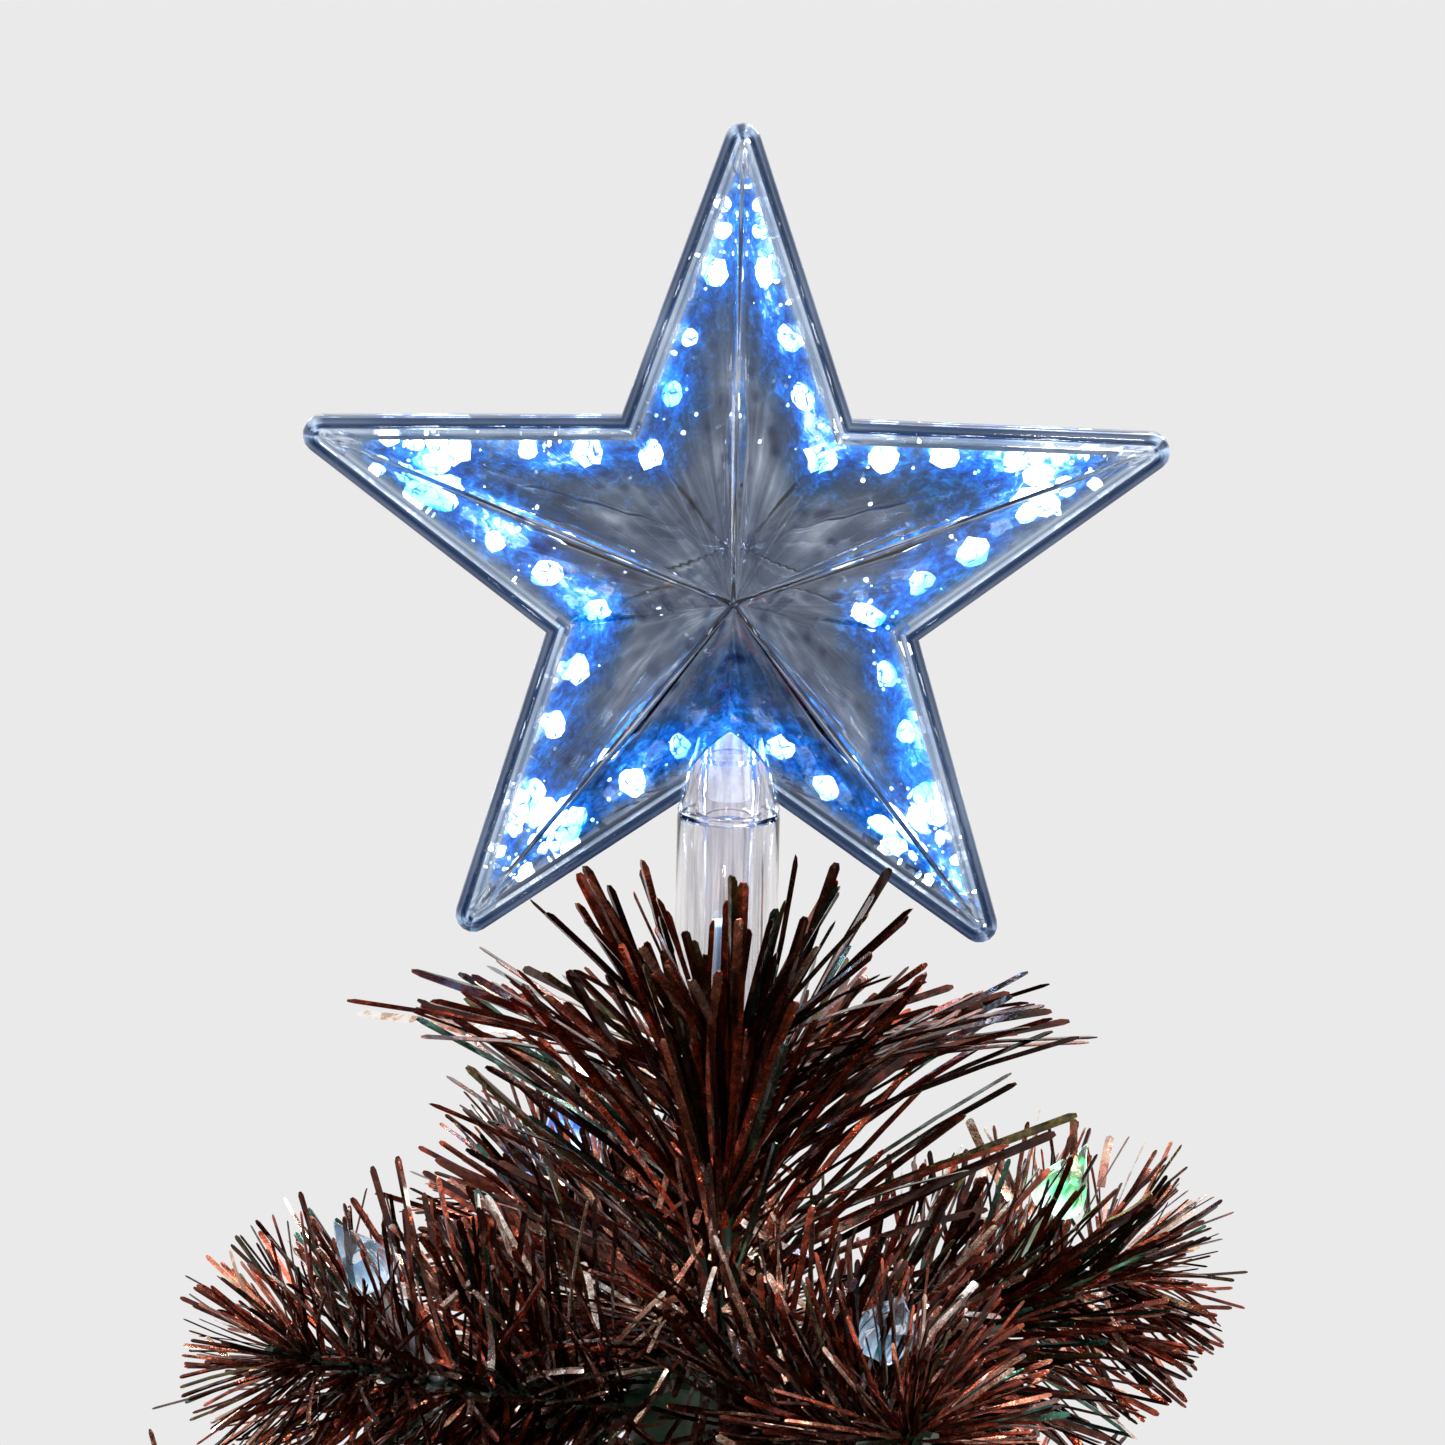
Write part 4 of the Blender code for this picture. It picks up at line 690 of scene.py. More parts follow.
def spark_level(obj, pips, strength, rim):
    """Three numbers for each point: its light, from the prisms near it and along the rim,
    whether it is on the clear band of the rim, and where it is across the band's lines.
    """
    spots = points_of(obj) - np.array(STAR, dtype=np.float32)
    level = np.zeros(len(spots))
    for flat, _, size in pips:
        gap = np.hypot(spots[:, 0] - flat.x, spots[:, 2] - flat.z)
        level = np.maximum(level, strength * np.clip(1 - gap / (SPARK_REACH * size), 0, 1))
    radius = np.hypot(spots[:, 0], spots[:, 2])
    angle = np.mod(np.arctan2(spots[:, 0], spots[:, 2]), WHOLE_ARM)
    angle = np.minimum(angle, WHOLE_ARM - angle)
    line = STAR_TIP * STAR_NOTCH * math.sin(HALF_ARM) / (
        STAR_TIP * np.sin(angle) + STAR_NOTCH * np.sin(HALF_ARM - angle))
    share = np.clip(radius / line, 0, 1.05)
    patch = np.array([noise.noise(Vector(spot) * per_metre(11)) for spot in spots.tolist()])
    level = np.maximum(level, rim * (1 + 1.4 * patch) * np.clip((share - 0.4) / 0.3, 0, 1))
    low = np.clip(1 - np.hypot(spots[:, 0] / 0.8, spots[:, 2] + 20 * MM) / (14 * MM), 0, 1)
    level = np.maximum(level, 0.9 * rim * low)
    band = np.clip((share - RIM_SHARE + 0.01) / 0.02, 0, 1)
    across = np.clip((share - RIM_SHARE) / (1 - RIM_SHARE), 0, 1)
    wave = np.array([noise.noise(Vector(spot) * per_metre(14)) for spot in spots.tolist()])
    rail = 0.5 + 0.45 * np.cos(5 * math.pi * across) + 0.35 * wave
    return level * (1 - band), band, rail


def build_star():
    """Two lit half shells with the neck's hole cut in them, their prisms, and the neck."""
    pips = pip_places()
    clear = clear_polystyrene("polystyrene_crystal_moulded_front", 1.2)
    back_clear = clear_polystyrene("polystyrene_crystal_moulded_back", 3.6)
    for name, side, look, strength, rim in (("star_front", -1, clear, 0.2, 0.3),
                                            ("star_back", 1, back_clear, 0.72, 0.46)):
        half = piece(name + "_shell", star_half(side), look, sharp=28)
        cut_away(half, turned(NECK_HOLE, 48, STAR))
        levels = spark_level(half, pips, strength, rim)
        for value, numbers in zip(("spark", "band", "rail"), levels):
            point_values(half, value, numbers)
        ride(half, "star", "clear_plastic", name)
    build_prisms(pips)
    build_neck()


def build_prisms(pips):
    """Faceted prisms and the small glowing grains between them, specks of painted light."""
    bm = bmesh.new()
    for flat, depth, size in pips:
        seat = STAR + flat + Vector((0, depth - 0.2 * MM, 0))
        stretch = Matrix.Diagonal((chance.uniform(0.85, 1.2), 0.6, chance.uniform(0.85, 1.25), 1))
        turn = Matrix.Rotation(chance.uniform(0, math.pi), 4, "Y")
        new = bmesh.ops.create_icosphere(
            bm, subdivisions=2, radius=1.75 * MM * size,
            matrix=Matrix.Translation(seat) @ turn @ stretch)["verts"]
        for vert in new:
            vert.co += (vert.co - seat) * 0.42 * noise.noise(vert.co * per_metre(1.1))
    # Grains in the prisms' lit finish: specks of painted light on the inner wall
    for _ in range(300):
        flat = chance.choice(pips)[0]
        reach = chance.gauss(0, 3.2 * MM), chance.gauss(0, 3.2 * MM)
        spot = flat + Vector((reach[0], 0, reach[1]))
        deep = wall_depth(spot)
        if deep < 0.6 * MM or (abs(spot.x) < 9 * MM and spot.z < -14 * MM):
            continue
        seat = STAR + spot + Vector((0, deep - 0.1 * MM, 0))
        bmesh.ops.create_icosphere(bm, subdivisions=1, radius=chance.uniform(0.12, 0.42) * MM,
                                   matrix=Matrix.Translation(seat))
    prisms = piece("star_prisms", bm, lit_prism())
    ride(prisms, "star", "clear_plastic")


def build_neck():
    """The socket: a capped tube in an outer one, a cone up into the star, and the milky rod."""
    profile = [(0, -20.7), (2.4, -20.75), (3.2, -21), (3.7, -21.5), (3.95, -22.3), (4, -25.4),
               (4.35, -25.7), (4.6, -26.3), (4.35, -26.9), (4.1, -27.2), (4.3, -28.2), (4.7, -29.4),
               (4.7, -34.6), (6.9, -34.6), (7.3, -34.8), (7.4, -35.2), (7.4, -64.8), (7.2, -65.2),
               (6.9, -65.3), (6.4, -65.3), (6.1, -65), (6.1, -35.7), (5.9, -35.5), (4.9, -35.5),
               (4.7, -35.7), (4.7, -63.4), (4.5, -63.8), (3.6, -63.8), (3.3, -63.4), (3.3, -27.5),
               (2.9, -26.6), (2.8, -23), (2.4, -22), (0, -21.9)]
    cone = [(4.7, -22.4), (5.5, -26.6), (6.6, -31), (7.4, -34.2), (7.3, -34.5), (6.9, -34.5),
            (6.1, -31), (5.1, -26.6), (4.3, -22.4)]
    look = clear_tube()
    for name, outline in (("star_neck", profile), ("star_boss", [*cone, cone[0]])):
        tube = piece(name, turned(outline, 56, STAR), look, sharp=32)
        # The spark values paint the fibre's light at the tube's top, and a little at its foot
        heights = points_of(tube)[:, 2] - STAR.z
        top = np.clip((heights + 30 * MM) / (5 * MM), 0, 1)
        foot = np.clip((-46 * MM - heights) / (14 * MM), 0, 1)
        point_values(tube, "spark", 0.75 * top + 0.1 * foot)
        ride(tube, "star", "clear_plastic", *(["star_socket"] if name == "star_neck" else []))
    plug = [(0, -27.7), (2.6, -27.7), (3, -28.1), (3, -32.3), (2.6, -32.7), (0, -32.7)]
    rod_piece = piece("star_diffuser_rod", turned(plug, 40, STAR), frosted_rod(), sharp=40)
    ride(rod_piece, "star", "frosted_plastic", "star_diffuser")


# Foil branches


def foil_strip(bend, twist, length):
    """One strip, folded along its middle: a flat three-sided ring spun along an arc and twisted."""
    bm = bmesh.new()
    steps, angle = len(STRIP_SHARES) - 1, length / abs(bend)
    hinge, axis = Vector((0, bend, 0)), Vector((-math.copysign(1, bend), 0, 0))
    ring = bmesh.ops.create_circle(bm, segments=3, radius=1)["verts"]
    bmesh.ops.scale(bm, verts=ring, vec=(STRIP_WIDTH / 1.73, STRIP_FOLD / 1.5, 1))
    edges = list(bm.edges)
    bmesh.ops.spin(bm, geom=ring + edges, cent=hinge, axis=axis, angle=angle, steps=steps)
    open_edges = [edge for edge in bm.edges if edge.is_boundary]
    bmesh.ops.holes_fill(bm, edges=open_edges, sides=3)
    bm.verts.ensure_lookup_table()
    for step, share in enumerate(STRIP_SHARES):
        ring = bm.verts[3 * step:3 * step + 3]
        slip = Matrix.Rotation(angle * (share - step / steps), 3, axis)
        bmesh.ops.rotate(bm, verts=ring, cent=hinge, matrix=slip)
        middle = sum((vert.co for vert in ring), Vector()) / 3
        bmesh.ops.rotate(bm, verts=ring, cent=middle, matrix=Matrix.Rotation(twist * share, 3, "Z"))
        if step == steps:
            bmesh.ops.scale(bm, verts=ring, vec=(0.5, 0.5, 0.5), space=Matrix.Translation(-middle))
    bmesh.ops.recalc_face_normals(bm, faces=bm.faces)
    return mesh_from("strip", bm)


def any_turn():
    """A chance angle in the full circle."""
    return chance.uniform(0, 2 * math.pi)


def strip_kinds(length, tightest, hands):
    """Ten strips of a length, bent to different curves; hands says to which sides."""
    kinds = []
    for _ in range(10):
        bend = chance.choice(hands) * chance.uniform(tightest, 4 * tightest) * MM
        kinds.append(foil_strip(bend, math.radians(chance.uniform(-50, 50)), length))
    return kinds


def add_mesh(bm, mesh, matrix):
    """Adds a copy of a mesh, moved by the matrix."""
    count = len(bm.verts)
    bm.from_mesh(mesh)
    bm.verts.ensure_lookup_table()
    bmesh.ops.transform(bm, matrix=matrix, verts=bm.verts[count:])


def strip_matrix(root, axis, lean, turn, roll, scale):
    """A strip's place: leaning off the wire's axis, turned round it and rolled on itself."""
    leaning = facing(axis) @ Matrix.Rotation(turn, 4, "Z") @ Matrix.Rotation(lean, 4, "Y")
    rolled = Matrix.Rotation(roll, 4, "Z") @ Matrix.Scale(scale, 4)
    return Matrix.Translation(root) @ leaning @ rolled


def foil_tuft(kinds, lean, spread, count=STRIPS_IN_TUFT):
    """A short length of garland: strips all round a wire that runs up +Z."""
    bm = bmesh.new()
    for i in range(count):
        root = UP * (TUFT_STEP * i / count)
        matrix = strip_matrix(root, UP, math.radians(chance.gauss(lean, spread)), any_turn(),
                              any_turn(), chance.uniform(0.82, 1.05))
        add_mesh(bm, chance.choice(kinds), matrix)
    return mesh_from("tuft", bm)


def wire_height(reach, share):
    """How far a branch has risen at a share of its reach."""
    return BRANCH_RISE * reach * share + BRANCH_CURL * share * share


def branch_wires(tier, member):
    """The branch's wire and its side twigs, in place, each as points and a radius."""
    reach = TIER_REACHES[tier]
    shares = [(TRUNK_RADIUS + 0.3 * MM) / reach, 0.3, 0.5, 0.75, 1]
    wires = [([Vector((reach * s, 0, wire_height(reach, s))) for s in shares], WIRE_RADIUS)]
    for share, side in TIER_TWIGS[tier]:
        root = Vector((reach * share, 0, wire_height(reach, share)))
        away = Vector((math.cos(TWIG_TURN), side * math.sin(TWIG_TURN), BRANCH_RISE)).normalized()
        wires.append(([root, root + away * TWIG_REACH * reach], TWIG_RADIUS))
    turn = Matrix.Rotation(math.radians(TIER_TURNS[tier]) + member * math.pi / 2, 3, "Z")
    lift = UP * TIER_HEIGHTS[tier]
    return [([turn @ point + lift for point in points], radius) for points, radius in wires]


def along(points, travelled):
    """The point and direction at a distance along a wire."""
    for start, end in zip(points, points[1:]):
        run = end - start
        if travelled <= run.length or end is points[-1]:
            return start + run.normalized() * travelled, run.normalized()
        travelled -= run.length


def wire_length(points):
    """The length of a wire along its points."""
    return sum((end - start).length for start, end in zip(points, points[1:]))


def round_run(run, turn):
    """Square to a wire's run, at this turn round it."""
    side = run.cross(UP).normalized()
    return side * math.cos(turn) + side.cross(run) * math.sin(turn)


def twisted_wire(bm, points, radius):
    """Two green-coated wires wound round each other."""
    total = wire_length(points)
    for phase in (0, math.pi):
        def place(u, v):
            spot, run = along(points, total * v)
            wind = phase + 2 * math.pi * total * v / (6 * MM)
            centre = spot + round_run(run, wind) * radius * 0.5
            return centre + round_run(run, 2 * math.pi * u) * radius * 0.5

        steps = max(8, int(total / (1.6 * MM)))
        strand = wrapped(5, steps, place)
        bmesh.ops.holes_fill(strand, edges=[e for e in strand.edges if e.is_boundary], sides=5)
        add_mesh(bm, mesh_from("wire", strand), Matrix())


def strip_values(obj):
    """Gives every strip its own tone, and each point its run from root to tip."""
    points = 3 * len(STRIP_SHARES)
    count = len(obj.data.vertices) // points
    dice = np.random.default_rng(len(obj.data.vertices))
    point_values(obj, "tone", np.repeat(dice.random(count), points))
    point_values(obj, "run", np.tile(np.repeat(STRIP_SHARES, 3), count))


def tuft_place(points, travelled, size):
    """Where a tuft goes: at a distance along the wire, turned round it by chance."""
    spot, run = along(points, travelled)
    spin = Matrix.Rotation(any_turn(), 4, "Z")
    return Matrix.Translation(spot) @ facing(run) @ spin @ Matrix.Scale(size, 4)


def wrap_wire(foliage, points, tier, tufts, brushes):
    """Tufts all along a wire, smaller towards its tip, and a brush that closes its end."""
    total = wire_length(points)
    travelled = 5 * MM
    while travelled < total - TUFT_STEP:
        taper = 1 - TIP_TAPERS[tier] * (travelled / total) ** 2
        place = tuft_place(points, travelled, TUFT_SIZES[tier] * taper)
        add_mesh(foliage, chance.choice(tufts), place)
        travelled += TUFT_STEP
    place = tuft_place(points, total - TUFT_STEP - 1 * MM, BRUSH_SIZES[tier])
    add_mesh(foliage, chance.choice(brushes), place)


def build_branches(finishes, wire_look):
    """Twenty branches: tufts of foil along each green wire and its twigs."""
    kinds = strip_kinds(STRIP_LENGTH, 75, (-1, 1))
    body = [foil_tuft(kinds, 50, 9) for _ in range(6)]
    full_body = [foil_tuft(kinds, 56, 12, 66) for _ in range(4)]
    brush = [foil_tuft(kinds, 30, 11, 60) for _ in range(3)]
    for tier in range(5):
        for member in range(4):
            name = f"branch_{tier + 1}_{member + 1}"
            foliage, wires = bmesh.new(), bmesh.new()
            for points, radius in branch_wires(tier, member):
                twisted_wire(wires, points, radius)
                wrap_wire(foliage, points, tier, body if tier else full_body, brush)
            leafy = piece(name + "_foil", foliage, finishes[tier % 2], sharp=40)
            strip_values(leafy)
            ride(leafy, "tree", ("copper_foil", "bronze_foil")[tier % 2], name)
            stem = piece(name + "_wire", wires, wire_look, sharp=40)
            ride(stem, "tree", "green_plastic")


def leader_lean(root, turn, size):
    """A lean that keeps the strip clear of the neck, and its tip under the star or behind it."""
    reach = LEADER_STRIP_LENGTH * size
    least = math.atan2(NECK_GIRTH, NECK_FOOT - root.z) + math.radians(4)
    if math.sin(turn) > 0.75:
        ceiling = REAR_CEILING
    elif abs(math.sin(turn)) < 0.16:
        ceiling = SIDE_CEILING
    elif math.sin(turn) > 0:
        ceiling = REAR_SIDE_CEILING
    else:
        ceiling = FRONT_CEILING if abs(math.cos(turn)) < 0.4 else FRONT_SIDE_CEILING
    rise = min(1, (ceiling - root.z) / reach)
    share = (root.z - LEADER_FOOT) / LEADER_RISE
    middle = 30 if ceiling == REAR_CEILING else 47
    wanted = math.radians(min(62, chance.gauss(middle - 8 * share, 10)))
    return max(least, math.acos(rise), wanted)


def build_leader(look, wire_look):
    """The fountain of strips round the neck's foot, and the drooping ones of the crown below it."""
    kinds = strip_kinds(LEADER_STRIP_LENGTH, 120, (1,))
    straighter = strip_kinds(LEADER_STRIP_LENGTH, 200, (1,))
    foliage = bmesh.new()
    for i in range(LEADER_STRIPS + REAR_STRIPS):
        rear = i >= LEADER_STRIPS
        climb = chance.uniform(0.35, 1) if rear else (i / LEADER_STRIPS) ** 0.9
        root = UP * (LEADER_FOOT + LEADER_RISE * climb)
        turn = chance.uniform(0.22, 0.78) * math.pi if rear else chance.uniform(0, 2) * math.pi
        size = chance.uniform(0.85, 1.15) if rear else chance.triangular(0.5, 1.05, 0.98)
        roll = math.radians(chance.gauss(-90, 38))
        matrix = strip_matrix(root, UP, leader_lean(root, turn, size), turn, roll, size)
        add_mesh(foliage, chance.choice(straighter if rear else kinds), matrix)
    kinds = strip_kinds(LEADER_STRIP_LENGTH, 45, (1,))
    for i in range(CROWN_STRIPS):
        root = UP * chance.uniform(0.453, 0.468)
        lean = math.radians(chance.gauss(80, 20))
        matrix = strip_matrix(root, UP, lean, any_turn(), math.radians(chance.gauss(-90, 30)),
                              chance.uniform(0.4, 0.8))
        add_mesh(foliage, chance.choice(kinds), matrix)
    leafy = piece("leader_foil", foliage, look, sharp=40)
    strip_values(leafy)
    ride(leafy, "tree", "bronze_foil", "leader")
    profile = [(0, 512), (2.6, 512), (3, 511.6), (3, 462.6), (3.4, 461.4), (8.6, 459), (9, 458.6),
               (9, 458.3), (6.9, 458.3), (6.9, 444.6), (6.6, 444.3), (0, 444.3)]
    stem = piece("leader_stem", turned(profile, 32), wire_look, sharp=35)
    ride(stem, "tree", "green_plastic")


def build_glints(look):
    """Short curls of film, bare side out, pale so that they paint the flashes along the axis and in
    the top tier: painted highlight.
    """
    kinds = strip_kinds(GLINT_LENGTH, 18, (-1, 1))
    bright = bmesh.new()
    for _ in range(GLINTS_AT_AXIS):
        turn = any_turn()
        root = outward(turn) * chance.uniform(3, 15) * MM
        root += UP * (chance.uniform(0.452, 0.478) + 0.5 * root.length)
        matrix = strip_matrix(root, UP, math.radians(chance.gauss(40, 22)), turn,
                              chance.uniform(-2.4, -0.7), chance.uniform(0.5, 1))
        add_mesh(bright, chance.choice(kinds), matrix)
    for member in range(4):
        points, _ = branch_wires(0, member)[0]
        for _ in range(GLINTS_ON_BRANCH):
            spot, _ = along(points, chance.uniform(0.1, 0.9) * wire_length(points))
            away = Vector((chance.gauss(0, 1), chance.gauss(0, 1), chance.gauss(0.4, 1)))
            away.normalize()
            root = spot + away * chance.uniform(5, 19) * MM
            matrix = strip_matrix(root, away, math.radians(chance.gauss(30, 20)), any_turn(),
                                  any_turn(), chance.uniform(0.5, 1))
            add_mesh(bright, chance.choice(kinds), matrix)
    glints = piece("leader_glints", bright, look, sharp=40)
    strip_values(glints)
    ride(glints, "tree", "bronze_foil")


def build_trunk_foil(finishes):
    """Short strips wound on round the trunk from each tier to the next, which hide the collars."""
    kinds = strip_kinds(STRIP_LENGTH, 75, (-1, 1))
    for tier, height in enumerate(TIER_HEIGHTS):
        foliage = bmesh.new()
        low = height - 10 * MM
        high = TIER_HEIGHTS[tier - 1] - 10 * MM if tier else TRUNK_TOP
        count = round(TRUNK_STRIPS * max(0.85, (high - low) / (68 * MM)))
        for i in range(count):
            turn = 2.4 * i
            root = UP * (low + (high - low) * i / count)
            root += outward(turn) * (TRUNK_RADIUS - 0.5 * MM)
            lean = math.radians(chance.gauss(72, 20))
            matrix = strip_matrix(root, UP, lean, turn, any_turn(), chance.uniform(0.5, 0.74))
            add_mesh(foliage, chance.choice(kinds), matrix)
        leafy = piece(f"trunk_foil_{tier + 1}", foliage, finishes[tier % 2], sharp=40)
        strip_values(leafy)
        ride(leafy, "tree", ("copper_foil", "bronze_foil")[tier % 2])


# Fibres and their caps


def add_fibre(bm, layer, points, radius, colour, sides):
    """A clear fibre along points; its last tip carries the light."""
    rings = []
    for index, point in enumerate(points):
        ahead = (points[min(index + 1, len(points) - 1)] - points[max(index - 1, 0)]).normalized()
        ring = bmesh.ops.create_circle(bm, segments=sides, radius=radius,
                                       matrix=Matrix.Translation(point) @ facing(ahead))["verts"]
        level = 1 if index == len(points) - 1 else 0.02
        for vert in ring:
            vert[layer] = (*[part * level for part in linear(colour)[:3]], 1)
        rings.append(list({edge for vert in ring for edge in vert.link_edges}))
    for first, second in zip(rings, rings[1:]):
        bmesh.ops.bridge_loops(bm, edges=first + second)
    for edges in (rings[0], rings[-1]):
        bmesh.ops.holes_fill(bm, edges=edges, sides=sides)


def fibre_piece(name, look, fibres):
    """One piece of fibres, each with its points, radius, colour and number of sides."""
    bm = bmesh.new()
    layer = bm.verts.layers.float_color.new("light")
    for fibre in fibres:
        add_fibre(bm, layer, *fibre)
    bmesh.ops.recalc_face_normals(bm, faces=bm.faces)
    ride(piece(name, bm, look, sharp=50), "tree", "fibre")


def build_fibres(look):
    """Loose fibres that leave each branch among the foil, with glowing ends."""
    for tier in range(1, 5):
        for member in range(4):
            fibres = []
            for number, (points, _) in enumerate(branch_wires(tier, member)):
                total, light = wire_length(points), LIGHTS[(tier + member + number) % 4]
                for _ in range(5 if number == 0 else 3):
                    spot, run = along(points, total * chance.uniform(0.35, 0.95))
                    away = round_run(run, chance.uniform(-0.4, math.pi + 0.4)) * 0.75
                    path = [spot + (run + away * bow) * far * MM for bow, far in FIBRE_BOWS]
                    fibres.append(([spot, *path], 0.38 * MM, light, 6))
            fibre_piece(f"branch_{tier + 1}_{member + 1}_fibres", look, fibres)


def build_leader_fibres(look):
    """The bundle that feeds the star: seven fibres side by side."""
    fibres = []
    for i in range(7):
        offset = outward(i * math.pi / 3) * (1.32 * MM if i < 6 else 0)
        top = 525.7 * MM - (0 if i == 6 else chance.uniform(0.1, 0.9) * MM)
        path = [offset + UP * z for z in (512 * MM, 519 * MM, top - 1.2 * MM, top)]
        fibres.append((path, 0.64 * MM, "#a9d6ff", 10))
    fibre_piece("leader_fibres", look, fibres)


def cap_form(seat, axis):
    """A tulip of five lobes round the outside, with a bore for the stalk."""
    outline = [(0, 12), (0.35, 11.2), (0.95, 9.9), (1.9, 8.2), (2.9, 6.4), (3.6, 4.8), (3.95, 3.4),
               (3.9, 2.1), (3.4, 1.1), (2.7, 0.35), (2.1, 0), (1.7, 0.1), (1.35, 0.5), (1.35, 2),
               (1.35, 5), (0, 5)]
    tilt = UP.rotation_difference(axis).to_matrix()

    def place(u, v):
        radius, height = outline[round(v * (len(outline) - 1))]
        swell = 1 if radius <= 1.4 else 1 + 0.09 * math.cos(10 * math.pi * u)
        spot = Vector((math.cos(2 * math.pi * u) * radius * swell,
                       math.sin(2 * math.pi * u) * radius * swell, height)) * MM
        return seat + tilt @ spot

    return wrapped(40, len(outline) - 1, place)


def build_caps(look):
    """Five-lobed tulip caps on the top tier's fibres, and the stalks under them."""
    blue = tulip_plastic("polystyrene_tulip_blue", 1.6, "#10347c", "#2a6fe0", "#cfe6ff")
    green = tulip_plastic("polystyrene_tulip_green", 1.2, "#0c4a2c", "#27b268", "#d6ffe4")
    faint = tulip_plastic("polystyrene_tulip_faint", 0.3, "#0c3f5c", "#2792a8", "#cfe6ff")
    lit_caps = ((green, "#31d26a"), (blue, "#2f8bff"), (faint, "#0f2a40"), (faint, "#0f2a40"))
    reach = TIER_REACHES[0]
    root = Vector((reach * STALK_SHARE, 0, wire_height(reach, STALK_SHARE)))
    for member, (cap_look, light) in enumerate(lit_caps):
        turn = Matrix.Rotation(math.radians(TIER_TURNS[0]) + member * math.pi / 2, 3, "Z")
        foot = turn @ root + UP * TIER_HEIGHTS[0]
        end = foot + turn @ STALK_RUN
        axis = (end - foot).normalized()
        seat = end - axis * CAP_SEAT
        path = [foot.lerp(end, share) for share in (0, 0.33, 0.66, 0.97, 1)]
        fibre_piece(f"tip_stalk_{member + 1}", look, [(path, 1 * MM, light, 10)])
        cap = piece(f"tulip_cap_{member + 1}", cap_form(seat, axis), cap_look, sharp=50)
        low, up = (np.array(vector, dtype=np.float32) for vector in (seat, axis))
        heights = (points_of(cap) - low) @ up
        point_values(cap, "spark", np.clip(1.05 - heights / (8.5 * MM), 0, 1))
        ride(cap, "tree", "clear_plastic", f"tip_cap_{member + 1}")


# The base, the trunk and the parts inside them


def slab(bm, size, matrix, edge=0.0):
    """A box of a size in millimetres, with rounded edges."""
    scale = Matrix.Diagonal((*(side * MM for side in size), 1))
    new = bmesh.ops.create_cube(bm, size=1, matrix=matrix @ scale)["verts"]
    if edge:
        edges = list({e for vert in new for e in vert.link_edges})
        bmesh.ops.bevel(bm, geom=edges, offset=edge * MM, affect="EDGES", segments=3,
                        profile=0.5, material=-1)


def eased(points, steps=5):
    """A profile's points with smooth ones between them."""
    spots = [Vector(point) for point in points]
    ends = [spots[0] * 2 - spots[1], *spots, spots[-1] * 2 - spots[-2]]
    found = []
    for a, b, c, d in zip(ends, ends[1:], ends[2:], ends[3:]):
        for i in range(steps):
            t = i / steps
            found.append(tuple(0.5 * (2 * b + (c - a) * t + (2 * a - 5 * b + 4 * c - d) * t ** 2
                                      + (3 * b - 3 * c + d - a) * t ** 3)))
    return found + [tuple(spots[-1])]


def moved(*place):
    """A shift in millimetres."""
    return Matrix.Translation(Vector(place) * MM)


def ring_spots(radius, turns):
    """Places on a level circle, its radius in millimetres."""
    return [outward(turn) * radius * MM for turn in turns]


def build_housing(look):
    """The moulded base: a smooth dome, a banded foot with slots, and the trunk's socket."""
    dome = eased([(13.6, 84.6), (16.2, 82.6), (28, 77.5), (42, 70), (54, 61), (63.5, 50), (70, 38),
                  (73.6, 29.6)])
    band = [(74.4, 27.6), (75.2, 27.2), (75.5, 26.6), (75.5, 25.8), (75.1, 25.3), (75, 24.9),
            (75, 6.4), (75.1, 6), (75.5, 5.6), (75.5, 4.4), (75.2, 3.5), (74.6, 3), (72.9, 3),
            (72.6, 3.4), (72.6, 26)]
    inside = [(radius - 1.6, height - 2) for radius, height in reversed(dome) if radius > 16]
    profile = [(9.9, 98), (12, 98), (12.5, 97.6), (12.6, 97), (12.6, 95.6), (13, 95.2), (13, 93.9),
               (12.6, 93.5), (12.6, 87.4), (12.9, 86), *dome, *band, *inside, (12.6, 80.4),
               (12.6, 60.5), (6, 60.5), (6, 62.9), (9.3, 62.9), (9.3, 97.5)]
    housing = piece("base_housing", turned(profile, 112), look)
    cutter = bmesh.new()
    for i in range(16):
        angle = math.pi / 2 + math.radians(50) + math.radians(260) / 15 * i
        slab(cutter, (8, 3, 12), Matrix.Rotation(angle, 4, "Z") @ moved(73.8, 0, 14.5), 1.2)
    slab(cutter, (20, 9, 14), moved(0, 73.8, 14.5))
    side, level = outward(INLET_TURN), UP * PORT_HEIGHT
    rod(cutter, side * 68 * MM + level, side * 80 * MM + level, 4.5 * MM, 32)
    cut_away(housing, cutter, sharp=32)
    ride(housing, "base", "base_plastic", "base_shell")


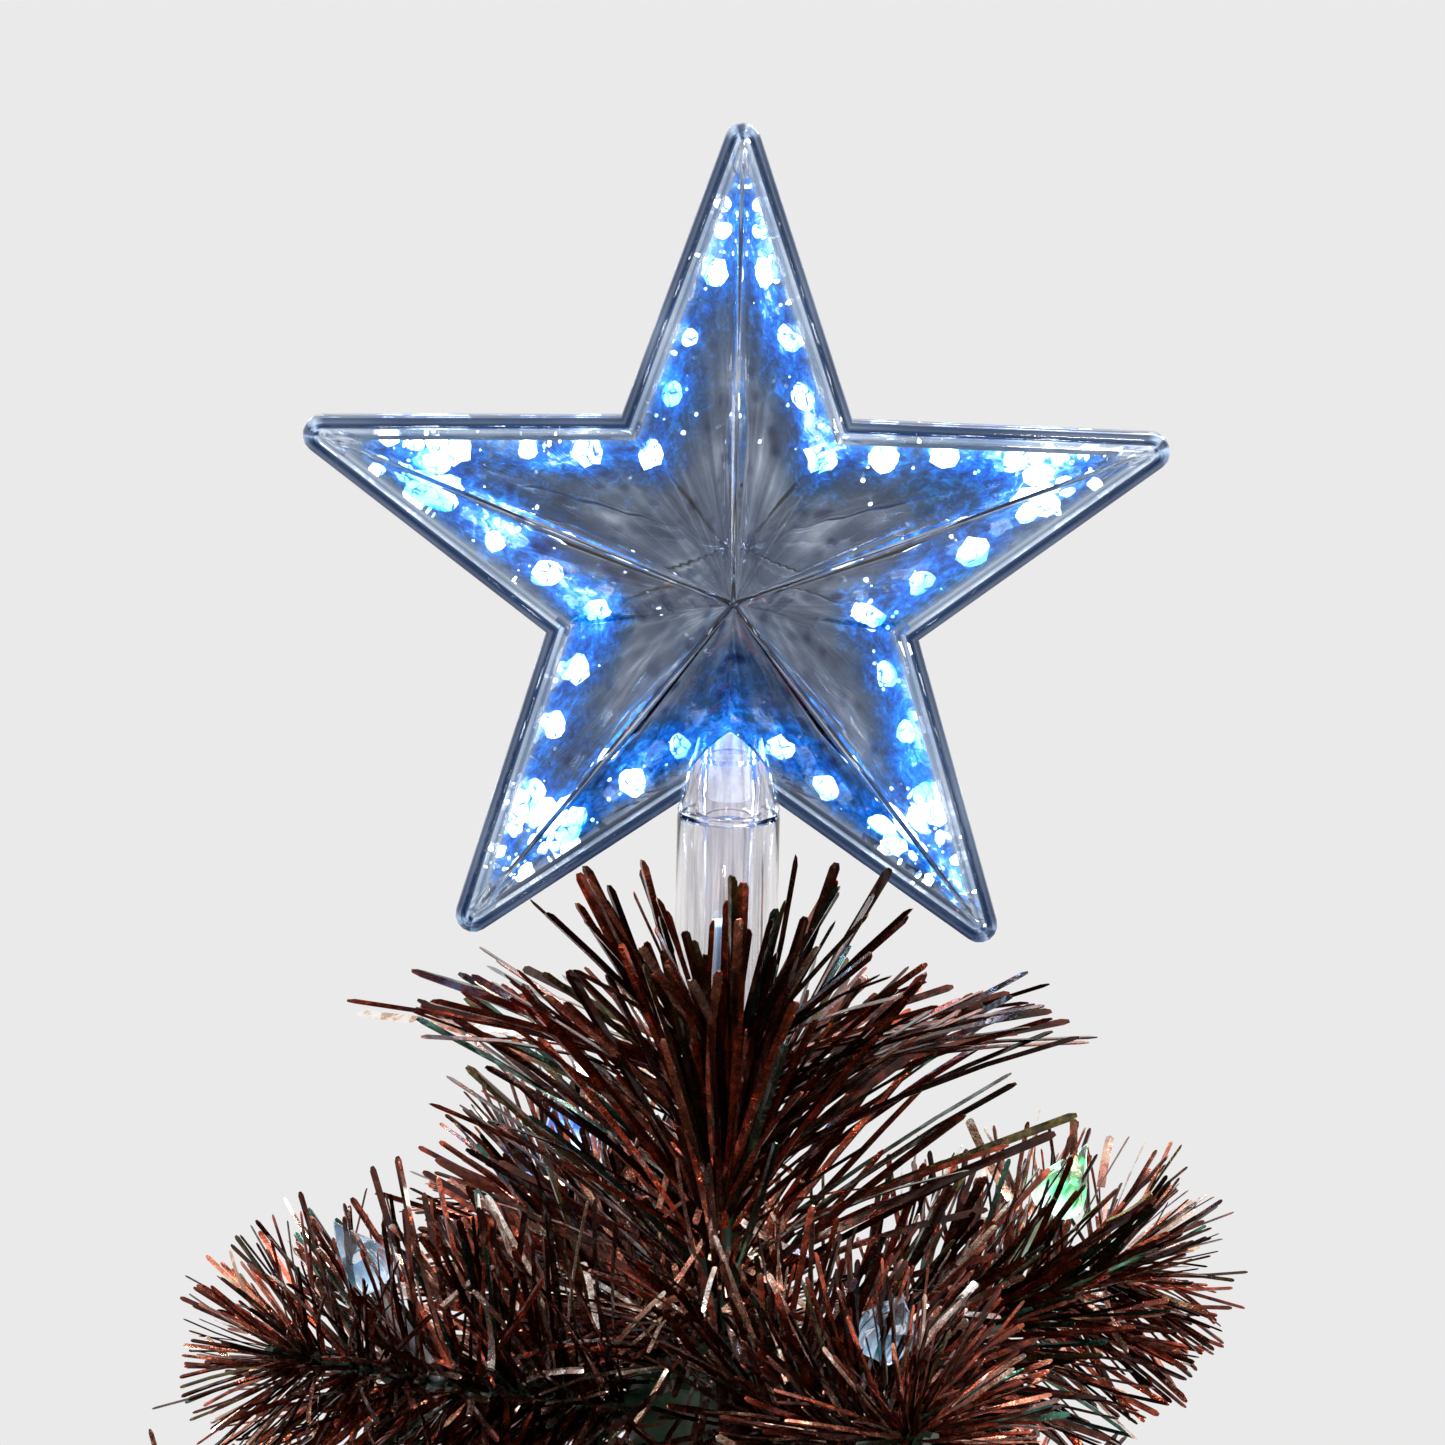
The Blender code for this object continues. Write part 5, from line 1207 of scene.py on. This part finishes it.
def build_cover(look, steel):
    """The plate under the base, with slots, ribs round its screws, and its three screws."""
    profile = [(0, 5.4), (71.9, 5.4), (72.3, 5), (72.3, 3.5), (71.8, 3), (66, 3), (65.6, 3.4),
               (64.9, 3.4), (64.5, 3), (0, 3)]
    cover = piece("base_cover", turned(profile, 96), look)
    cutter = bmesh.new()
    for i in range(8):
        slab(cutter, (3, 20, 6), Matrix.Rotation(math.pi * i / 4, 4, "Z") @ moved(46, 0, 4.2), 1.2)
    for spot in ring_spots(FOOT_CIRCLE, FOOT_TURNS):
        rod(cutter, spot, spot + UP * 7 * MM, 2.3 * MM, 24)
    for spot in ring_spots(SCREW_CIRCLE, SCREW_TURNS):
        rod(cutter, spot, spot + UP * 4.2 * MM, 3.6 * MM, 32)
    cut_away(cover, cutter, sharp=32)
    ride(cover, "base", "dark_plastic", "base_plate")
    for i, spot in enumerate(ring_spots(SCREW_CIRCLE, SCREW_TURNS)):
        head = turned([(0, 4.1), (2.9, 4.1), (3, 3.9), (2.7, 3.4), (2, 3.1), (0, 3.05)], 32, spot)
        screw = piece(f"cover_screw_{i + 1}", head, steel, sharp=30)
        for turn in (0, math.pi / 2):
            slot = bmesh.new()
            slab(slot, (2.8, 0.6, 1.2),
                 Matrix.Translation(spot + UP * 3.1 * MM) @ Matrix.Rotation(turn, 4, "Z"))
            cut_away(screw, slot)
        ride(screw, "base", "steel")


def build_feet(rubber):
    """Turned feet, each with a stud up through the cover and a hollow sole."""
    outline = [(0, 5.1), (1.6, 5.1), (2, 4.7), (2, 2.7), (5.6, 2.7), (6, 2.4), (6, 0.9), (5.7, 0.3),
               (5.1, 0), (3.6, 0), (3.3, 0.35), (0, 0.35)]
    for i, spot in enumerate(ring_spots(FOOT_CIRCLE, FOOT_TURNS)):
        foot = piece(f"rubber_foot_{i + 1}", turned(outline, 36, spot), rubber, sharp=40)
        ride(foot, "base", "rubber", f"foot_{i + 1}")


def build_switch(dark, paint):
    """The rocker switch in its bezel, with a bar and a ring moulded on the rocker."""
    centre = Matrix.Translation((0, BASE_RADIUS, PORT_HEIGHT))
    bezel = bmesh.new()
    slab(bezel, (23, 1.8, 17), centre @ moved(0, 1.2, 0), 0.6)
    slab(bezel, (19.4, 12.6, 13.4), centre @ moved(0, -5, 0), 0.3)
    bezel = piece("switch_frame", bezel, dark, sharp=40)
    pocket = bmesh.new()
    slab(pocket, (17, 14, 11), centre @ moved(0, -2.8, 0))
    cut_away(bezel, pocket)
    ride(bezel, "base", "dark_plastic", "switch_bezel")
    tilt = centre @ Matrix.Rotation(math.radians(8), 4, "X")
    outline = [(4, 4.6), (3.1, 2.4), (2.7, 0.8), (2.7, -0.8), (3.1, -2.4), (4, -4.6), (-1, -4.6),
               (-3, -2.3), (-3, 2.3), (-1, 4.6)]
    bm = bmesh.new()
    side = bm.faces.new([bm.verts.new((-8.2 * MM, y * MM, z * MM)) for y, z in outline])
    new = bmesh.ops.extrude_face_region(bm, geom=[side])["geom"]
    far_side = [part for part in new if isinstance(part, bmesh.types.BMVert)]
    bmesh.ops.translate(bm, verts=far_side, vec=(16.4 * MM, 0, 0))
    bmesh.ops.recalc_face_normals(bm, faces=bm.faces)
    bmesh.ops.bevel(bm, geom=list(bm.edges), offset=0.35 * MM, affect="EDGES", segments=2,
                    profile=0.5, material=-1)
    bmesh.ops.transform(bm, matrix=tilt, verts=bm.verts)
    ride(piece("switch_paddle", bm, dark, sharp=30), "switch", "dark_plastic", "switch_rocker")
    marks = bmesh.new()
    upper = tilt @ moved(0, 3.35, 2.9) @ Matrix.Rotation(math.radians(-22), 4, "X")
    slab(marks, (0.45, 0.3, 2.2), upper)
    lower = tilt @ moved(0, 3.35, -2.9) @ Matrix.Rotation(math.radians(22), 4, "X")
    ring = turned([(0.75, -0.15), (1.15, -0.15), (1.15, 0.15), (0.75, 0.15)], 28)
    add_mesh(marks, mesh_from("ring", ring), lower @ Matrix.Rotation(math.pi / 2, 4, "X"))
    ride(piece("switch_marks", marks, paint, sharp=30), "switch", "dark_plastic")


def build_inlet(dark, steel):
    """The round power socket beside the switch, with its centre pin."""
    out = outward(INLET_TURN)
    seat = out * BASE_RADIUS + UP * PORT_HEIGHT
    profile = [(0, -11), (3.9, -11), (4.2, -10.7), (4.2, 0.3), (5.8, 0.3), (5.8, 1), (5.3, 1.7),
               (3.6, 1.7), (3.1, 1.3), (3, 1), (3, -9.8), (0, -9.8)]
    barrel = piece("inlet_barrel", turned(profile, 48, seat, out), dark, sharp=35)
    ride(barrel, "base", "dark_plastic", "power_inlet")
    pin = turned([(0, 0), (0.6, -0.1), (0.9, -0.5), (1, -1), (1, -9.9), (0, -9.9)], 24, seat, out)
    ride(piece("inlet_pin", pin, steel, sharp=35), "base", "steel")


def build_trunk(trunk, spun, faces, dark):
    """The fluted trunk tube, the polished fibre end in its ferrule, and the collar that seats the
    star's neck.
    """
    bore, outer = 7.2 * MM, TRUNK_RADIUS
    heights = [63.6, 63.2, 63.2, 63.6, 457.6, 458, 458, 457.6, 63.6, 63.6]
    radii = [bore, bore + 0.3 * MM, outer - 0.4 * MM, outer, outer, outer - 0.4 * MM,
             bore + 0.3 * MM, bore, bore, bore]

    def place(u, v):
        angle = 2 * math.pi * u
        row = round(v * 9)
        flute = 0.16 * MM * math.cos(24 * angle) if row in (3, 4) else 0
        radius = radii[row] + flute - (0.16 * MM if row in (3, 4) else 0)
        return Vector((math.cos(angle) * radius, math.sin(angle) * radius, heights[row] * MM))

    sleeve = piece("trunk_sleeve", wrapped(144, 9, place), trunk, sharp=40)
    ride(sleeve, "tree", "green_plastic", "trunk_tube")
    cup = [(5.3, 79.2), (6.5, 79.2), (6.9, 78.8), (6.9, 63.6), (6.5, 63.2), (5.3, 63.2)]
    bundle = [(0, 443.7), (6.5, 443.7), (6.9, 443.3), (6.9, 79.9), (6.5, 79.5), (5, 79.2),
              (5, 63.4), (4.8, 63.2), (0, 63.2)]
    top = [(3.3, 509.4), (6.9, 509.4), (7.5, 509), (7.8, 508.4), (7.8, 506.4), (7.5, 505.5),
           (6.9, 504.9), (3.3, 504.9)]
    for name, profile, look, slot, solid in (
            ("ferrule_cup", cup, spun, "bright_metal", "ferrule"),
            ("bundle_core", bundle, faces, "fibre", "fibre_bundle"),
            ("neck_seat", top, dark, "dark_plastic", "leader_collar")):
        ride(piece(name, turned(profile, 48), look, sharp=35), "tree", slot, solid)


def build_collars(look):
    """A ring round the trunk at each tier, with a short spigot for each branch wire."""
    for tier in range(len(TIER_HEIGHTS)):
        wires = [branch_wires(tier, member)[0][0] for member in range(4)]
        middle = wires[0][0].z / MM
        ring = [(9.3, middle + 5.5), (12.4, middle + 5.5), (12.9, middle + 5), (13, middle + 4.4),
                (13, middle - 4.4), (12.9, middle - 5), (12.4, middle - 5.5), (9.3, middle - 5.5)]
        bm = turned(ring, 48)
        for points in wires:
            run = (points[1] - points[0]).normalized()
            rod(bm, points[0] + run * 1.2 * MM, points[0] + run * 6.5 * MM, 2.7 * MM, 20, 2.3 * MM)
        bmesh.ops.recalc_face_normals(bm, faces=bm.faces)
        ride(piece(f"branch_ring_{tier + 1}", bm, look, sharp=35), "tree", "green_plastic",
             f"tier_collar_{tier + 1}")


def filter_film(colour, *shades):
    """Dyed polyester film in the wheel: clear colour, light passes through."""
    return mottled("polyester_film_" + colour, shades, 4, (0.08, 0.16), 0.02,
                   {"Transmission Weight": 0.85, "IOR": 1.57})


def fibre_face():
    """Hundreds of acrylic fibres, cut and polished: a honeycomb of bright dots."""
    made, tree, shader, place = finish("acrylic_bundle_polished", {"Roughness": 0.15, "IOR": 1.49})
    dots = cells(tree, place, 0.75)
    shade = ramp(tree, dots, (0.2, "#f2f7ff"), (0.45, "#b8c6da"), (0.6, "#4c5666"))
    set_sockets(tree, shader, {"Base Color": shade})
    return made


def dress(green_wire):
    """The base's and trunk's pieces, and the finish of each solid that shows as it is."""
    # ABS from a spark-eroded mould: an even satin grain
    shell = mottled("abs_moulded_spark_grain", ("#16291c", "#1f3a28"), 0.7, (0.42, 0.58), 0.06)
    # ABS from a polished mould: semi-gloss black
    dark = mottled("abs_moulded_black", ("#17181a", "#232427"), 0.9, (0.38, 0.52), 0.05)
    # PVC tube drawn through a die: faint lines along it
    trunk = mottled("pvc_extruded_green", ("#15301f", "#21482e"), 1.2, (0.3, 0.46), 0.05,
                    spread=(0.35, 0.65), stretch=(1, 1, 0.06))
    # Moulded rubber: dull, soft black
    rubber = mottled("rubber_moulded", ("#141414", "#202020"), 0.5, (0.75, 0.9), 0.05)
    # Zinc-plated steel: grey, with soft cloudy reflections
    steel = mottled("steel_zinc_plated", ("#9fa3a6", "#c6c9cb"), 0.8, (0.26, 0.42), 0.02,
                    {"Metallic": 1.0})
    # Spun aluminium: bright, with fine turning rings
    spun = mottled("aluminium_spun", ("#c9cbcd", "#e6e7e8"), 0.4, (0.12, 0.22), 0.01,
                   {"Metallic": 1.0}, stretch=(1, 1, 14))
    # Pressed steatite: chalky cream, unglazed
    ceramic = mottled("steatite_pressed", ("#d3cbb9", "#e9e3d5"), 0.5, (0.5, 0.7), 0.04)
    # Blown quartz: clear, with slight waves
    glass = mottled("quartz_blown_clear", ("#eef2f5", "#ffffff"), 3, (0.02, 0.05), 0.01,
                    {"Transmission Weight": 1.0, "IOR": 1.46})
    # Pad-printed ink: flat white
    paint = mottled("paint_printed_white", ("#d8dad8", "#eceeec"), 0.6, (0.4, 0.55), 0.02)
    build_housing(shell)
    build_cover(dark, steel)
    build_feet(rubber)
    build_switch(dark, paint)
    build_inlet(dark, steel)
    build_trunk(trunk, spun, fibre_face(), dark)
    build_collars(green_wire)
    looks = {
        dark: ["wheel_frame"],
        steel: ["chassis", "motor", "motor_shaft", "wheel_clip"],
        spun: ["reflector"],
        ceramic: ["lamp_holder"],
        glass: ["lamp"],
        filter_film("red", "#c8141c", "#e0222a"): ["filter_red"],
        filter_film("blue", "#143cc8", "#2450e0"): ["filter_blue"],
        filter_film("green", "#0e8c3a", "#1aa84a"): ["filter_green"],
        filter_film("amber", "#e08a12", "#f0a020"): ["filter_amber"],
    }
    for look, names in looks.items():
        for name in names:
            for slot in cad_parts[name].material_slots:
                slot.material = look


make_camera()
make_stage()
build_star()
# Metallised film under copper lacquer, with some green and gold strips among it, and a few bright
# copper and pale peach strips as painted glints
copper = foil("pvc_foil_metallised_copper", (0.0, "#3c190e"), (0.26, "#5c2516"), (0.46, "#260f08"),
              (0.68, "#8a3e2a"), (0.79, "#1f4034"), (0.85, "#40381e"), (0.9, "#cf8066"),
              (0.95, "#f0cbb8"))
# The same film in a darker brown lacquer, with the same painted glint strips
bronze = foil("pvc_foil_metallised_bronze", (0.0, "#421b10"), (0.26, "#642817"), (0.46, "#2a110a"),
              (0.68, "#94432c"), (0.79, "#234438"), (0.86, "#4a4224"), (0.91, "#d0826a"),
              (0.955, "#f0cbb8"))
# The film's unlacquered side: pale copper mirror, for the curls that paint glints
bare_side_glints = foil("pvc_foil_bare_side_painted_glint", (0.0, "#d8917c"), (0.4, "#f0c0a8"), (0.8, "#fae2d6"))
# Steel wire dipped in green PVC: smooth, slightly waxy
coated = mottled("pvc_coated_wire_green", ("#12281b", "#1e3f2b"), 1, (0.35, 0.5), 0.04)
build_branches((copper, bronze), coated)
build_leader(bronze, coated)
build_glints(bare_side_glints)
build_trunk_foil((copper, bronze))
fibre_look = lit_fibre()
build_fibres(fibre_look)
build_leader_fibres(fibre_look)
build_caps(fibre_look)
dress(coated)
